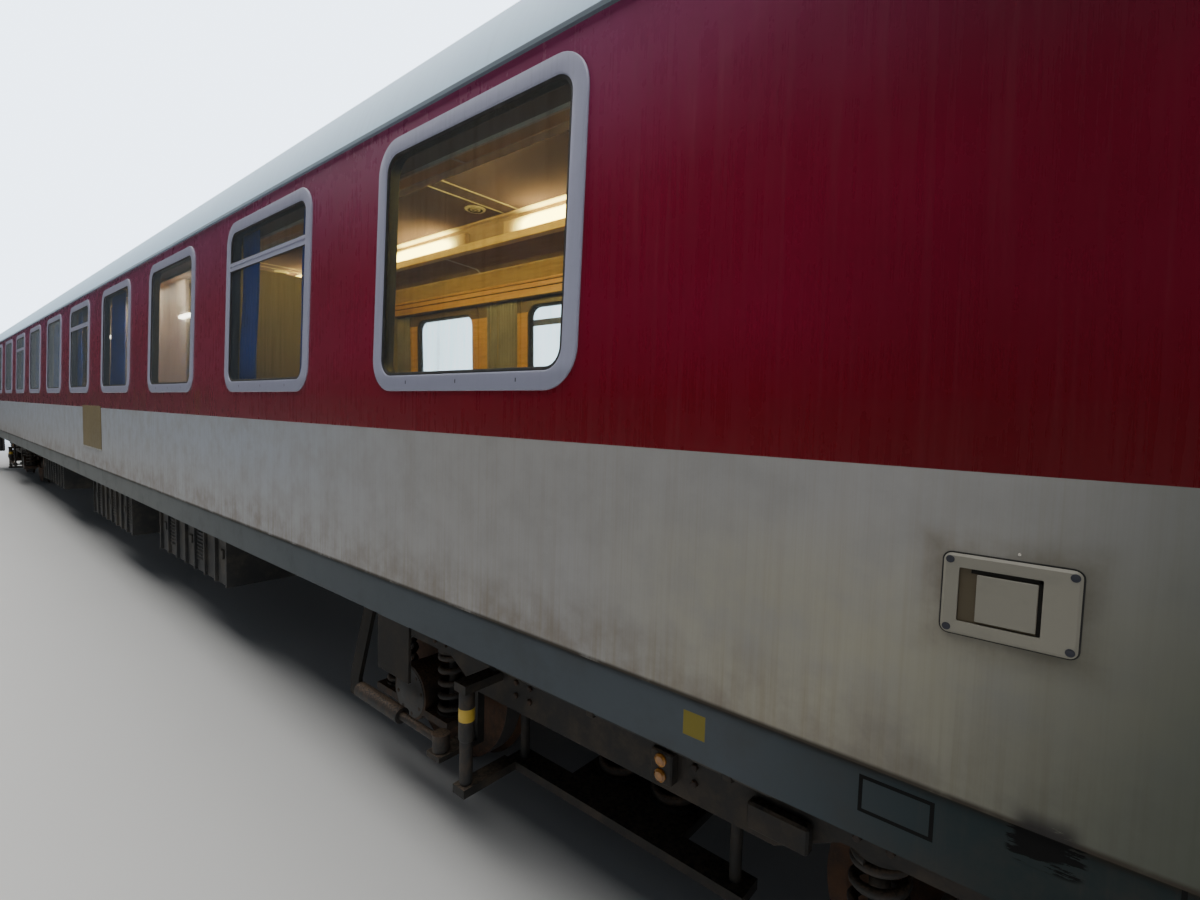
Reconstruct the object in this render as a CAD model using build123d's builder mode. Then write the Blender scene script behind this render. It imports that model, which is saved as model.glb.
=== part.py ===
"""A 26.4 m passenger coach for standard gauge, as an assembly of separate pieces.

Millimetres. +X runs along the coach, +Z is up, and -Y is the near side, the one with the
corridor. The origin is on the floor under the middle of the coach: the wheels stand on their
flanges there, and the rail top would be rail_z above it. The front end is the +X end, where
the dining room is. The near side and the front bogie are drawn, and their twins are mirrored.
"""
from build123d import *
from math import acos, asin, atan2, cos, degrees, hypot, radians, sin, sqrt
import os

os.makedirs("parts", exist_ok=True)

# Rail level
flange_height = 28
rail_z = flange_height

# Body shell
body_length = 26100
half_length = body_length / 2
half_width = 1412.5
wall_thickness = 75
wall_bottom = rail_z + 1197
wall_break = rail_z + 2050
sill_rise = 24
frame_height = 1130
gutter_gap = 68
frame_sill = wall_break + sill_rise
gutter_z = frame_sill + frame_height + gutter_gap
gutter_inset = 37.5
gutter_half_width = half_width - gutter_inset
gutter_lip = 16
gutter_height = 18
roof_rise = 778
roof_top = gutter_z + roof_rise
roof_radius = 2100
shoulder_inset = 375
shoulder_half_width = gutter_half_width - shoulder_inset
roof_thickness = 90
floor_top = rail_z + 1250
inner_half_width = half_width - wall_thickness

# Windows, ten a side
window_count = 10
end_bay = 3050
window_pitch = (body_length - 2 * end_bay) / window_count
frame_width = 1296
frame_band = 72
frame_corner = 150
frame_depth = 10
pane_thickness = 24
pane_overlap = 20
hopper_bar_height = 52
hopper_drop = 224
first_hopper = 1
hopper_every = 3

# Entrance doors, two folding leaves each
door_inset = 950
door_x = half_length - door_inset
door_width = 820
door_head = 122
door_top = gutter_z - door_head
door_sill_top = rail_z + 1034
door_recess = 62
leaf_thickness = 36
leaf_clearance = 5
leaf_free_clearance = 12
leaf_gap = 5
pivot_radius = 10
pivot_inset = 20
pivot_reach = 20
fold_offset = 14
knuckle_radius = 12
knuckle_height = 60
knuckle_web = 40
knuckle_shares = (0.15, 0.8)
running_clearance = 0.3
leaf_window_width = 230
leaf_window_sill = wall_break - 50
leaf_window_height = 900
leaf_window_corner = 50
leaf_pane_thickness = 8

# Gangway ends
gangway_width = 800
gangway_height = 1960
slide_leaf_thickness = 30
slide_leaf_overlap = 30
slide_window_width = 400
slide_window_height = 700
slide_window_sill = floor_top + 950
bellows_tube = 148
bellows_half_width = 520
bellows_top = floor_top + 2130
bellows_corner = 220
bellows_chamfer = 35

# Underframe
sole_recess = 8
sole_thickness = 80
sole_bottom = rail_z + 1017
bearer_bottom = rail_z + 1057
bogie_inset = 3550
bogie_x = half_length - bogie_inset
pivot_pin_radius = 60
pivot_pin_length = 150
body_bolster_length = 500
headstock_inset = 450
headstock_x = half_length - headstock_inset
headstock_bottom = rail_z + 900
headstock_length = 80
end_beam_bottom = rail_z + 1165
bearer_width = 80
bearers_x = [i * window_pitch for i in range(-3, 4)]
sill_y = 300
sill_width = 60
hanger_inner_x = -1109
hanger_outer_x = -842
hanger_bottom = rail_z + 756
hanger_thickness = 14
strut_top_x = -1410
strut_width = 90
strut_thickness = 24
strut_bottom = rail_z + 405
strut_eye_rise = 60
strut_foot_thickness = 40
step_well_depth = 450
well_plate = 12
lining_inset = 112.5
lining_y = half_width - lining_inset
well_tread = 190
well_tread_z = rail_z + 1144
step_width = 700
step_plate = 14
step_inset = 27.5
step_depth = 235
step_outer_y = half_width - step_inset
step_inner_y = step_outer_y - step_depth
step_treads = (rail_z + 520, rail_z + 770)

# Buffers and couplers
buffer_y = 875
buffer_z = rail_z + 1060
buffer_length = 600
buffer_flange = 260
buffer_flange_thickness = 24
buffer_sleeve_radius = 110
buffer_sleeve_length = 360
buffer_plunger_radius = 85
buffer_head_thickness = 45
buffer_head_width = 600
buffer_head_height = 340
buffer_head_corner = 60
hook_thickness = 60
hook_plate_thickness = 24
hook_plate_half = (160, 130)
link_reach = 80
link_depth = 45
link_y = 62
link_thickness = 26
link_length = 330
link_eye = 22
shackle_overhang = 45
shackle_lip = 5

# Draw hook's outline: the reach from the headstock, and the rise above the buffers' middle
hook_outline = (
    (0, -45),
    (170, -45),
    (250, -80),
    (330, -60),
    (350, 20),
    (330, 95),
    (290, 95),
    (290, 25),
    (230, 5),
    (170, 45),
    (0, 45),
)

# Equipment boxes: the bay where each starts, its length, its side, its inner y and its bottom
equipment = (
    (2.13, 1790, -1, 640, rail_z + 610),
    (0.6, 2000, -1, 560, rail_z + 560),
    (-1.5, 2000, -1, 640, rail_z + 610),
    (1.5, 2000, 1, 700, rail_z + 610),
    (-1.35, 2200, 1, 640, rail_z + 560),
    (-2.5, 1500, 1, 700, rail_z + 640),
)
rib_pitch = 250
rib_depth = 22
rib_width = 24

# Air tanks: the bay where each starts, its length and its y
air_tanks = ((-3.35, 1400, -820), (-3.35, 1400, 820), (-2.3, 1300, -900))
tank_radius = 160
saddle_height = 30
saddle_half_width = 112

# Bogies
wheel_radius = 460
wheelbase = 2600
axle_z = rail_z + wheel_radius
journal_y = 1000
journal_radius = 65
beam_width = 180
beam_bottom = rail_z + 645
beam_top = rail_z + 850
beam_end_bottom = rail_z + 760
beam_end_top = rail_z + 900
beam_overhang = 350
beam_half_length = wheelbase / 2 + beam_overhang
transom_x = 420
transom_width = 160
bearer_pad_radius = 90
body_bolster_bottom = rail_z + 1000
bogie_bolster_top = rail_z + 925
bogie_bolster_height = 120
bogie_bolster_half_width = 880
bogie_bolster_length = 560
axle_box_radius = 150
axle_box_length = 220
axle_box_cover = 50
journal_end_gap = 10
spring_offset = 250
primary_spring_radius = 90
wing_thickness = 40
wing_drop = 50
secondary_spring_radius = 120
secondary_spring_x = 150
secondary_spring_y = 690
plank_top = rail_z + 330
plank_thickness = 40
damper_reach = 172
damper_y = journal_y + beam_width / 2 + damper_reach
yaw_damper_inner_x = -1590
yaw_damper_outer_x = -790
yaw_damper_radius = 40
yaw_damper_body = 420
yaw_damper_z = rail_z + 450
upright_damper_x = -600
upright_damper_radius = 36
damper_bracket_half = 40
damper_bracket_thickness = 40
damper_bracket_drop = 90
beam_crank_x = 760
beam_rise_x = 960
beam_tip_cut = (40, 30)
spring_plank_link_x = 560
link_radius = 22
link_inset = 10
link_beam_half = 60
plank_half_length = 300
lug_half_length = 50
lug_thickness = 40
lug_shelf = 25
lug_clearance = 5
pad_inset_x = 205
pad_thickness = 32
pad_length = 130
pad_height = 240
arm_thickness = 26
arm_height = 70
crosshead_start = 60
crosshead_end = 180
crosshead_height = 140
brake_hanger_x = (-40, 90)
brake_hanger_width = 120
transom_drop = 20
transom_lift = 35
axle_radius = 80
wheel_inner_y = 680
flange_width = 32
rim_width = 135
rim_radius = 395
web_y = 70
hub_radius = 130
hub_width = 160
disc_radius = 305
disc_thickness = 110
disc_y = 350
pad_clearance = 5

# Lamps and latch plates
lamp_inset = 232.5
lamp_y = half_width - lamp_inset
lamp_z = rail_z + 1560
lamp_radius = 75
lamp_depth = 60
latch_gap = 844
latch_x = door_x - door_width / 2 - latch_gap
latch_z = rail_z + 1644
latch_width = 230
latch_height = 170
latch_corner = 15
latch_recess_width = 142
latch_recess_height = 114
latch_recess_shift = 15
latch_rim = 8
latch_floor = 1.5
latch_flap_width = 106
latch_flap_gap = 4
latch_flap_rise = 6.5

# Ceiling and inside
ceiling_edge_z = gutter_z - 37
ceiling_knee = (shoulder_half_width, ceiling_edge_z + 205)
ceiling_cove = (620, ceiling_edge_z + 227)
ceiling_raft_z = ceiling_edge_z + 472
ceiling_thickness = 16
ceiling_gap = 8
vestibule_x = door_x - door_width / 2 - 130
cabin_count = 7
cabin_end_x = -window_count / 2 * window_pitch
saloon_inner_x = cabin_end_x + cabin_count * window_pitch
saloon_end_x = window_count / 2 * window_pitch + 200
corridor_y = -640
partition_thickness = 40
partition_gap = 2
doorway_width = 640
bench_depth = 520
bench_height = 430
bench_back_height = 860
bench_back_thickness = 110
bench_base = 160
bench_foot_inset = (60, 120)
bench_foot_end = 80
bench_gap = 40
bench_aisle_gap = 60
aisle_half_width = 380
table_height = 740
table_thickness = 30
table_half_length = 340
table_leg = 80
table_aisle_gap = 20
table_wall_lap = 10
curtain_thickness = 30
curtain_width = 260
curtain_lap = 40
curtain_wall_gap = 6
curtain_partition_gap = 10
curtain_bottom = frame_sill + 46

# Curtains on the near side, from the front end: the widths at a window's rear and front edges
near_curtains = ((0, 0), (300, curtain_width), (0, curtain_width), (650, curtain_width))
pelmet_depth = 90
pelmet_gap = 60
pelmet_length = window_pitch - pelmet_gap
pelmet_height = 90
pelmet_z = gutter_z - 132
light_length = 1450
light_shift = 650
light_end_gap = 125
light_width = 50
light_height = 150
light_lift = 20

# Derived values that several pieces share
wall_lean = atan2(half_width - gutter_half_width, gutter_z - wall_break)
door_inner_edge = door_x - door_width / 2
door_outer_edge = door_x + door_width / 2
leaf_width = (door_width - leaf_clearance - leaf_gap - leaf_free_clearance) / 2
leaf_bottom = door_sill_top + leaf_clearance
leaf_top = door_top - leaf_clearance
pivot_x = door_outer_edge - leaf_clearance - pivot_inset
fold_x = door_outer_edge - leaf_clearance - leaf_width - leaf_gap / 2
fold_y = half_width - door_recess - leaf_thickness - fold_offset
sole_y = half_width - sole_recess - sole_thickness / 2
door_face_y = half_width - door_recess
windows_x = [(i - (window_count - 1) / 2) * -window_pitch for i in range(window_count)]
near_wall_plane = Plane(
    origin=(0, -half_width, wall_break),
    x_dir=(1, 0, 0),
    z_dir=(0, -cos(wall_lean), sin(wall_lean)),
)


def save(part, label):
    """Labels one finished piece and writes its file."""
    part.label = label
    export_step(part, f"parts/{label}.step")


def save_pair(part, front, rear):
    """Writes a piece of the front end and its mirror image at the rear end."""
    save(part, front)
    save(mirror(part, about=Plane.YZ), rear)


def both_sides(part):
    """A near-side piece together with its twin on the far side."""
    return Compound(children=[part, mirror(part, about=Plane.XZ)])


def inner_wall_y(z):
    """Half width between the side walls' inner faces at a height."""
    return inner_half_width - max(0, z - wall_break) * sin(wall_lean) / cos(wall_lean)


def box(x, y, z):
    """A block given by its low and high limits on each axis."""
    size = (x[1] - x[0], y[1] - y[0], z[1] - z[0])
    with Locations(((x[0] + x[1]) / 2, (y[0] + y[1]) / 2, (z[0] + z[1]) / 2)):
        return Box(*size)


def roof_arcs(inset):
    """The roof's outline: a wide top arc and two shoulder arcs, inset by a thickness."""
    reach = sqrt(roof_radius**2 - shoulder_half_width**2)
    normal = (shoulder_half_width / roof_radius, reach / roof_radius)
    top_centre_z = roof_top - roof_radius
    shoulder = (shoulder_half_width, top_centre_z + reach)
    drop = (gutter_half_width - shoulder[0], gutter_z - shoulder[1])
    radius = -(drop[0] ** 2 + drop[1] ** 2) / (2 * (drop[0] * normal[0] + drop[1] * normal[1]))
    centre = (shoulder[0] - radius * normal[0], shoulder[1] - radius * normal[1])
    meet = degrees(acos(normal[0]))
    start = degrees(asin((gutter_z - centre[1]) / (radius - inset)))
    CenterArc(centre, radius - inset, start, meet - start)
    CenterArc((0, top_centre_z), roof_radius - inset, meet, 180 - 2 * meet)
    CenterArc((-centre[0], centre[1]), radius - inset, 180 - meet, meet - start)
    return centre[0] + (radius - inset) * cos(radians(start))


def wall_line(side):
    """One wall's closed outline in the YZ plane; side is -1 for the near wall."""
    Polyline(
        (side * half_width, wall_bottom),
        (side * half_width, wall_break),
        (side * gutter_half_width, gutter_z),
        (side * (gutter_half_width - wall_thickness), gutter_z),
        (side * inner_half_width, wall_break),
        (side * inner_half_width, wall_bottom),
        close=True,
    )


def window_sketch_places():
    """Window centres on the leaning wall plane."""
    rise = (frame_sill - wall_break) / cos(wall_lean) + frame_height / 2
    return [(x, rise) for x in windows_x]


# Side walls: one piece from doorway to doorway, with a lintel over each door
with BuildPart() as side_wall:
    with BuildSketch(Plane.YZ.offset(-door_outer_edge)):
        with BuildLine():
            wall_line(-1)
        make_face()
    extrude(amount=2 * door_outer_edge)
    with BuildSketch(near_wall_plane):
        with Locations(*window_sketch_places()):
            Rectangle(
                frame_width - 2 * frame_band + 2 * pane_overlap,
                frame_height - 2 * frame_band + 2 * pane_overlap,
            )
    extrude(amount=2 * wall_thickness, both=True, mode=Mode.SUBTRACT)
    with BuildSketch(Plane.XY.offset(wall_bottom)):
        with Locations((door_x, -half_width), (-door_x, -half_width)):
            Rectangle(door_width, 4 * wall_thickness)
    extrude(amount=door_top - wall_bottom, mode=Mode.SUBTRACT)
    with BuildSketch(Plane.XY.offset(door_top)):
        with Locations((pivot_x, -door_face_y), (-pivot_x, -door_face_y)):
            Circle(pivot_radius + running_clearance)
    extrude(amount=pivot_reach + leaf_clearance, mode=Mode.SUBTRACT)
save(side_wall.part, "side_wall_near")
save(mirror(side_wall.part, about=Plane.XZ), "side_wall_far")

# Roof: an arched shell with a drip gutter along each edge
with BuildPart() as roof:
    with BuildSketch(Plane.YZ.offset(-half_length)):
        with BuildLine():
            roof_arcs(0)
            inner_foot = roof_arcs(roof_thickness)
            Line((gutter_half_width, gutter_z), (inner_foot, gutter_z))
            Line((-gutter_half_width, gutter_z), (-inner_foot, gutter_z))
        make_face()
        with Locations((gutter_half_width, gutter_z), (-gutter_half_width, gutter_z)):
            Rectangle(2 * gutter_lip, gutter_height, align=(Align.CENTER, Align.MIN))
    extrude(amount=body_length)
save(roof.part, "roof")

# End walls: the end plate with its gangway door, and the body corners outboard of the doors
end_plate_x = half_length - wall_thickness
with BuildPart() as end_wall:
    with BuildSketch(Plane.YZ.offset(end_plate_x)):
        with BuildLine():
            foot = roof_arcs(roof_thickness)
            Polyline(
                (foot, gutter_z),
                (gutter_half_width, gutter_z),
                (half_width, wall_break),
                (half_width, wall_bottom),
                (-half_width, wall_bottom),
                (-half_width, wall_break),
                (-gutter_half_width, gutter_z),
                (-foot, gutter_z),
            )
        make_face()
        with Locations((0, floor_top)):
            Rectangle(
                gangway_width, gangway_height, align=(Align.CENTER, Align.MIN), mode=Mode.SUBTRACT
            )
    extrude(amount=wall_thickness)
    with BuildSketch(Plane.YZ.offset(door_outer_edge)):
        for side in (-1, 1):
            with BuildLine():
                wall_line(side)
            make_face()
    extrude(amount=end_plate_x - door_outer_edge)
save_pair(end_wall.part, "end_wall_front", "end_wall_rear")

# Floor, notched for the four step wells
with BuildPart() as floor:
    with BuildSketch(Plane.XY.offset(wall_bottom)):
        Rectangle(2 * end_plate_x, 2 * inner_half_width)
        well_y = inner_half_width - (step_well_depth - wall_thickness) / 2
        with Locations(*[(sx * door_x, sy * well_y) for sx in (-1, 1) for sy in (-1, 1)]):
            Rectangle(door_width, step_well_depth - wall_thickness, mode=Mode.SUBTRACT)
    extrude(amount=floor_top - wall_bottom)
save(floor.part, "floor")

# Ceiling: a bent sheet, raised in the middle between two coves for the lights
with BuildPart() as ceiling:
    with BuildSketch(Plane.YZ.offset(-end_plate_x)):
        edge = inner_wall_y(ceiling_edge_z) - running_clearance
        upper_edge = inner_wall_y(ceiling_edge_z + ceiling_thickness) - running_clearance
        under = [
            (edge, ceiling_edge_z),
            ceiling_knee,
            ceiling_cove,
            (ceiling_cove[0], ceiling_raft_z),
        ]
        over = [
            (ceiling_cove[0] + ceiling_thickness, ceiling_raft_z + ceiling_thickness),
            (ceiling_cove[0] + ceiling_thickness, ceiling_cove[1] + ceiling_thickness),
            (ceiling_knee[0], ceiling_knee[1] + ceiling_thickness),
            (upper_edge, ceiling_edge_z + ceiling_thickness),
        ]
        with BuildLine():
            Polyline(
                *under,
                *[(-y, z) for y, z in reversed(under)],
                *[(-y, z) for y, z in reversed(over)],
                *over,
                close=True,
            )
        make_face()
    extrude(amount=2 * end_plate_x)
save(ceiling.part, "ceiling")

# Window frames: flat rings with round corners, seated on the wall; some carry a hopper bar
glass_width = frame_width - 2 * frame_band
glass_height = frame_height - 2 * frame_band
with BuildPart() as frames:
    with BuildSketch(near_wall_plane):
        with Locations(*window_sketch_places()):
            RectangleRounded(frame_width, frame_height, frame_corner)
            RectangleRounded(
                glass_width, glass_height, frame_corner - frame_band, mode=Mode.SUBTRACT
            )
        bar_rise = glass_height / 2 - hopper_drop
        bars = [(x, y + bar_rise) for x, y in window_sketch_places()]
        with Locations(*bars[first_hopper::hopper_every]):
            Rectangle(glass_width + frame_band, hopper_bar_height)
    extrude(amount=frame_depth)
save(both_sides(frames.part), "window_frames")

# Window panes: each lies behind its frame, in the opening of the wall
with BuildPart() as panes:
    with BuildSketch(near_wall_plane):
        with Locations(*window_sketch_places()):
            Rectangle(
                glass_width + 2 * pane_overlap - 2 * running_clearance,
                glass_height + 2 * pane_overlap - 2 * running_clearance,
            )
    extrude(amount=-pane_thickness)
save(both_sides(panes.part), "window_panes")

# Entrance doors. Leaf A turns on pins in the lintel and the sill; leaf B folds against it
leaf_z = (leaf_bottom, leaf_top)
leaf_y = (-door_face_y, -door_face_y + leaf_thickness)
knuckle_z = [leaf_bottom + (leaf_top - leaf_bottom) * share for share in knuckle_shares]
leaf_a_x = (door_outer_edge - leaf_clearance - leaf_width, door_outer_edge - leaf_clearance)
leaf_b_x = (leaf_a_x[0] - leaf_gap - leaf_width, leaf_a_x[0] - leaf_gap)


def leaf_window(x):
    """Cuts one leaf's window."""
    with BuildSketch(Plane.XZ.offset(door_face_y)) as hole:
        with Locations(((x[0] + x[1]) / 2, leaf_window_sill + leaf_window_height / 2)):
            RectangleRounded(leaf_window_width, leaf_window_height, leaf_window_corner)
    extrude(hole.sketch, amount=-leaf_thickness, mode=Mode.SUBTRACT)


def leaf_pane(x):
    """One leaf's pane, in the middle of its thickness."""
    with BuildPart() as pane:
        with BuildSketch(Plane.XZ.offset(door_face_y - leaf_thickness / 2)):
            with Locations(((x[0] + x[1]) / 2, leaf_window_sill + leaf_window_height / 2)):
                RectangleRounded(
                    leaf_window_width - 2 * running_clearance,
                    leaf_window_height - 2 * running_clearance,
                    leaf_window_corner - running_clearance,
                )
        extrude(amount=leaf_pane_thickness / 2, both=True)
    return pane.part


def knuckles(side, lift):
    """Two hinge knuckles, each with the short web that ties it to its leaf."""
    for z in knuckle_z:
        with Locations((fold_x, -fold_y, z + lift)):
            Cylinder(knuckle_radius, knuckle_height, align=(Align.CENTER, Align.CENTER, Align.MIN))
        near, far = sorted((fold_x, fold_x + side * knuckle_web))
        low = -fold_y + knuckle_radius
        box((near, far), (-fold_y - fold_offset, low), (z + lift, z + lift + knuckle_height))


with BuildPart() as leaf_a:
    box(leaf_a_x, leaf_y, leaf_z)
    leaf_window(leaf_a_x)
    for z, reach in ((leaf_top, 1), (leaf_bottom, -1)):
        with BuildSketch(Plane.XY.offset(z)):
            with Locations((pivot_x, -door_face_y)):
                Circle(pivot_radius)
        extrude(amount=reach * (pivot_reach if reach > 0 else door_sill_top - sole_bottom))
    knuckles(1, 0)

with BuildPart() as leaf_b:
    box(leaf_b_x, leaf_y, leaf_z)
    leaf_window(leaf_b_x)
    knuckles(-1, knuckle_height + running_clearance)

for piece, name in (
    (leaf_a.part, "leaf_a"),
    (leaf_b.part, "leaf_b"),
    (leaf_pane(leaf_a_x), "pane_a"),
    (leaf_pane(leaf_b_x), "pane_b"),
):
    save_pair(piece, f"door_near_front_{name}", f"door_near_rear_{name}")
    across = mirror(piece, about=Plane.XZ)
    save_pair(across, f"door_far_front_{name}", f"door_far_rear_{name}")

# Gangway doors: one leaf at each end, which slides behind the end plate toward the far side
slide_x = (end_plate_x - slide_leaf_thickness - running_clearance, end_plate_x - running_clearance)
slide_half_width = gangway_width / 2 + slide_leaf_overlap
with BuildPart() as slide_leaf:
    box(
        slide_x,
        (-slide_half_width, slide_half_width),
        (floor_top + running_clearance, floor_top + gangway_height + slide_leaf_overlap),
    )
    with BuildSketch(Plane.YZ.offset(slide_x[0])):
        with Locations((0, slide_window_sill + slide_window_height / 2)):
            RectangleRounded(slide_window_width, slide_window_height, leaf_window_corner)
    extrude(amount=slide_leaf_thickness, mode=Mode.SUBTRACT)
save_pair(slide_leaf.part, "gangway_door_front", "gangway_door_rear")

with BuildPart() as slide_pane:
    with BuildSketch(Plane.YZ.offset(slide_x[0] + slide_leaf_thickness / 2)):
        with Locations((0, slide_window_sill + slide_window_height / 2)):
            RectangleRounded(
                slide_window_width - 2 * running_clearance,
                slide_window_height - 2 * running_clearance,
                leaf_window_corner - running_clearance,
            )
    extrude(amount=leaf_pane_thickness / 2, both=True)
save_pair(slide_pane.part, "gangway_pane_front", "gangway_pane_rear")

# Gangway bellows: a rubber arch around each gangway door, flat against the end wall
with BuildPart() as bellows:
    with BuildSketch(Plane.YZ.offset(half_length)):
        rise = bellows_top - floor_top
        with Locations((0, floor_top)):
            for grow, mode in ((bellows_tube / 2, Mode.ADD), (-bellows_tube / 2, Mode.SUBTRACT)):
                RectangleRounded(
                    2 * (bellows_half_width + grow), 2 * (rise + grow), bellows_corner + grow, mode=mode
                )
            Rectangle(
                4 * bellows_half_width,
                2 * rise,
                align=(Align.CENTER, Align.MAX),
                mode=Mode.SUBTRACT,
            )
    extrude(amount=bellows_tube)
    chamfer(bellows.faces().sort_by(Axis.X)[-1].edges(), length=bellows_chamfer)
save(Compound(children=[bellows.part, mirror(bellows.part, about=Plane.YZ)]), "gangway_bellows")

# Underframe
with BuildPart() as underframe:
    for side in (-1, 1):
        y = sorted((side * (sole_y - sole_thickness / 2), side * (sole_y + sole_thickness / 2)))
        box((-half_length, half_length), y, (sole_bottom, wall_bottom))
    for end in (-1, 1):
        with Locations((end * door_x, 0, door_sill_top)):
            Box(
                door_width,
                2 * half_width,
                wall_bottom - door_sill_top,
                align=(Align.CENTER, Align.CENTER, Align.MIN),
                mode=Mode.SUBTRACT,
            )
    beam_y = (-sole_y, sole_y)
    for end in (-1, 1):
        stock = sorted((end * headstock_x, end * (headstock_x - headstock_length)))
        box(stock, beam_y, (headstock_bottom, wall_bottom))
        box(sorted((end * end_plate_x, end * half_length)), beam_y, (end_beam_bottom, wall_bottom))
        bolster = (end * bogie_x - body_bolster_length / 2, end * bogie_x + body_bolster_length / 2)
        box(bolster, beam_y, (body_bolster_bottom, wall_bottom))
        with Locations((end * bogie_x, 0, body_bolster_bottom)):
            Cylinder(
                pivot_pin_radius, pivot_pin_length, align=(Align.CENTER, Align.CENTER, Align.MAX)
            )
    for x in bearers_x:
        box((x - bearer_width / 2, x + bearer_width / 2), beam_y, (bearer_bottom, wall_bottom))
    for y in (-sill_y, sill_y):
        box(
            (-headstock_x, headstock_x),
            (y - sill_width / 2, y + sill_width / 2),
            (bearer_bottom, wall_bottom),
        )
    with BuildSketch(Plane.XY.offset(sole_bottom)):
        places = [(sx * pivot_x, sy * door_face_y) for sx in (-1, 1) for sy in (-1, 1)]
        with Locations(*places):
            Circle(pivot_radius + running_clearance)
    extrude(amount=door_sill_top - sole_bottom, mode=Mode.SUBTRACT)
    for end in (-1, 1):
        for side in (-1, 1):
            hanger_x = sorted((end * (bogie_x + hanger_inner_x), end * (bogie_x + hanger_outer_x)))
            outer = side * (sole_y + sole_thickness / 2)
            inner = outer - side * hanger_thickness
            box(hanger_x, sorted((outer, inner)), (hanger_bottom, sole_bottom))
            with BuildSketch(Plane.XZ.offset(-side * damper_y)):
                with BuildLine():
                    top_x = bogie_x + strut_top_x
                    low_x = bogie_x + yaw_damper_inner_x
                    Polyline(
                        (end * (top_x - strut_width / 2), sole_bottom),
                        (end * (top_x + strut_width / 2), sole_bottom),
                        (end * (low_x + strut_width / 2), yaw_damper_z + strut_eye_rise),
                        (end * (low_x + strut_width / 2), strut_bottom),
                        (end * (low_x - strut_width / 2), strut_bottom),
                        (end * (low_x - strut_width / 2), yaw_damper_z + strut_eye_rise),
                        close=True,
                    )
                make_face()
            extrude(amount=strut_thickness / 2, both=True)
            foot = sorted((side * (damper_y - strut_thickness / 2), side * sole_y))
            foot_x = sorted((end * (top_x - strut_width / 2), end * (top_x + strut_width / 2)))
            half = strut_foot_thickness / 2
            box(foot_x, foot, (sole_bottom - half, sole_bottom + half))
save(underframe.part, "underframe")

# Step wells inside the doors, and the steps that hang below the sills
with BuildPart() as step_well:
    well_x = (door_inner_edge, door_outer_edge)
    back = -half_width + step_well_depth
    box(well_x, (-sole_y + sole_thickness / 2, back), (sole_bottom, door_sill_top))
    box(well_x, (back - well_plate, back), (sole_bottom, wall_bottom))
    box(well_x, (back - well_tread, back), (well_tread_z - well_plate, well_tread_z))
    for x in (door_inner_edge, door_outer_edge - well_plate):
        box((x, x + well_plate), (-lining_y, back), (sole_bottom, wall_bottom))
with BuildPart() as step:
    for x in (door_x - step_width / 2, door_x + step_width / 2 - step_plate):
        box((x, x + step_plate), (-step_outer_y, -step_inner_y), (step_treads[0], sole_bottom))
    for z in step_treads:
        box(
            (door_x - step_width / 2, door_x + step_width / 2),
            (-step_outer_y, -step_inner_y),
            (z, z + step_plate),
        )
steps = [step_well.part, step.part]
steps += [mirror(item, about=Plane.YZ) for item in steps]
save(Compound(children=steps + [mirror(item, about=Plane.XZ) for item in steps]), "steps")

# Buffers, with a flange on the headstock, a sleeve and a plunger with its head
with BuildPart() as buffer:
    face = Plane(origin=(headstock_x, -buffer_y, buffer_z), x_dir=(0, 1, 0), z_dir=(1, 0, 0))
    with BuildSketch(face):
        Rectangle(buffer_flange, buffer_flange)
    extrude(amount=buffer_flange_thickness)
    with BuildSketch(face):
        Circle(buffer_sleeve_radius)
    extrude(amount=buffer_sleeve_length)
    with BuildSketch(face):
        Circle(buffer_plunger_radius)
    extrude(amount=buffer_length - buffer_head_thickness)
    with BuildSketch(face.offset(buffer_length - buffer_head_thickness)):
        RectangleRounded(buffer_head_width, buffer_head_height, buffer_head_corner)
    extrude(amount=buffer_head_thickness)
buffers_near = [buffer.part, mirror(buffer.part, about=Plane.YZ)]
save(
    Compound(children=buffers_near + [mirror(item, about=Plane.XZ) for item in buffers_near]),
    "buffers",
)

# Couplers: a draw hook with its screw link folded back on it
with BuildPart() as coupler:
    with BuildSketch(Plane.XZ):
        with BuildLine():
            Polyline(*[(headstock_x + reach, buffer_z + rise) for reach, rise in hook_outline], close=True)
        make_face()
    extrude(amount=hook_thickness / 2, both=True)
    plate_y, plate_z = hook_plate_half
    box(
        (headstock_x, headstock_x + hook_plate_thickness),
        (-plate_y, plate_y),
        (buffer_z - plate_z, buffer_z + plate_z),
    )
    link_x = (headstock_x + link_reach, headstock_x + link_reach + link_depth)
    for y in (-link_y, link_y):
        box(
            link_x,
            (y - link_thickness / 2, y + link_thickness / 2),
            (buffer_z - link_length, buffer_z + link_eye),
        )
    box(link_x, (-link_y, link_y), (buffer_z - link_eye, buffer_z + link_eye))
    box(
        (link_x[0] - shackle_lip, link_x[1] + shackle_lip),
        (-link_y - shackle_overhang, link_y + shackle_overhang),
        (buffer_z - link_length - link_depth, buffer_z - link_length),
    )
save(Compound(children=[coupler.part, mirror(coupler.part, about=Plane.YZ)]), "couplers")

# Equipment under the floor: boxes with stiffening ribs, and air tanks on saddles
with BuildPart() as boxes:
    for bay, length, side, inner_y, bottom in equipment:
        x0 = bay * window_pitch
        box((x0, x0 + length), sorted((side * inner_y, side * lining_y)), (bottom, bearer_bottom))
        count = round(length / rib_pitch)
        for i in range(count + 1):
            x = x0 + rib_width / 2 + i * (length - rib_width) / count
            y = sorted((side * lining_y, side * (lining_y + rib_depth)))
            box((x - rib_width / 2, x + rib_width / 2), y, (bottom, bearer_bottom))
save(boxes.part, "equipment_boxes")

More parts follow.
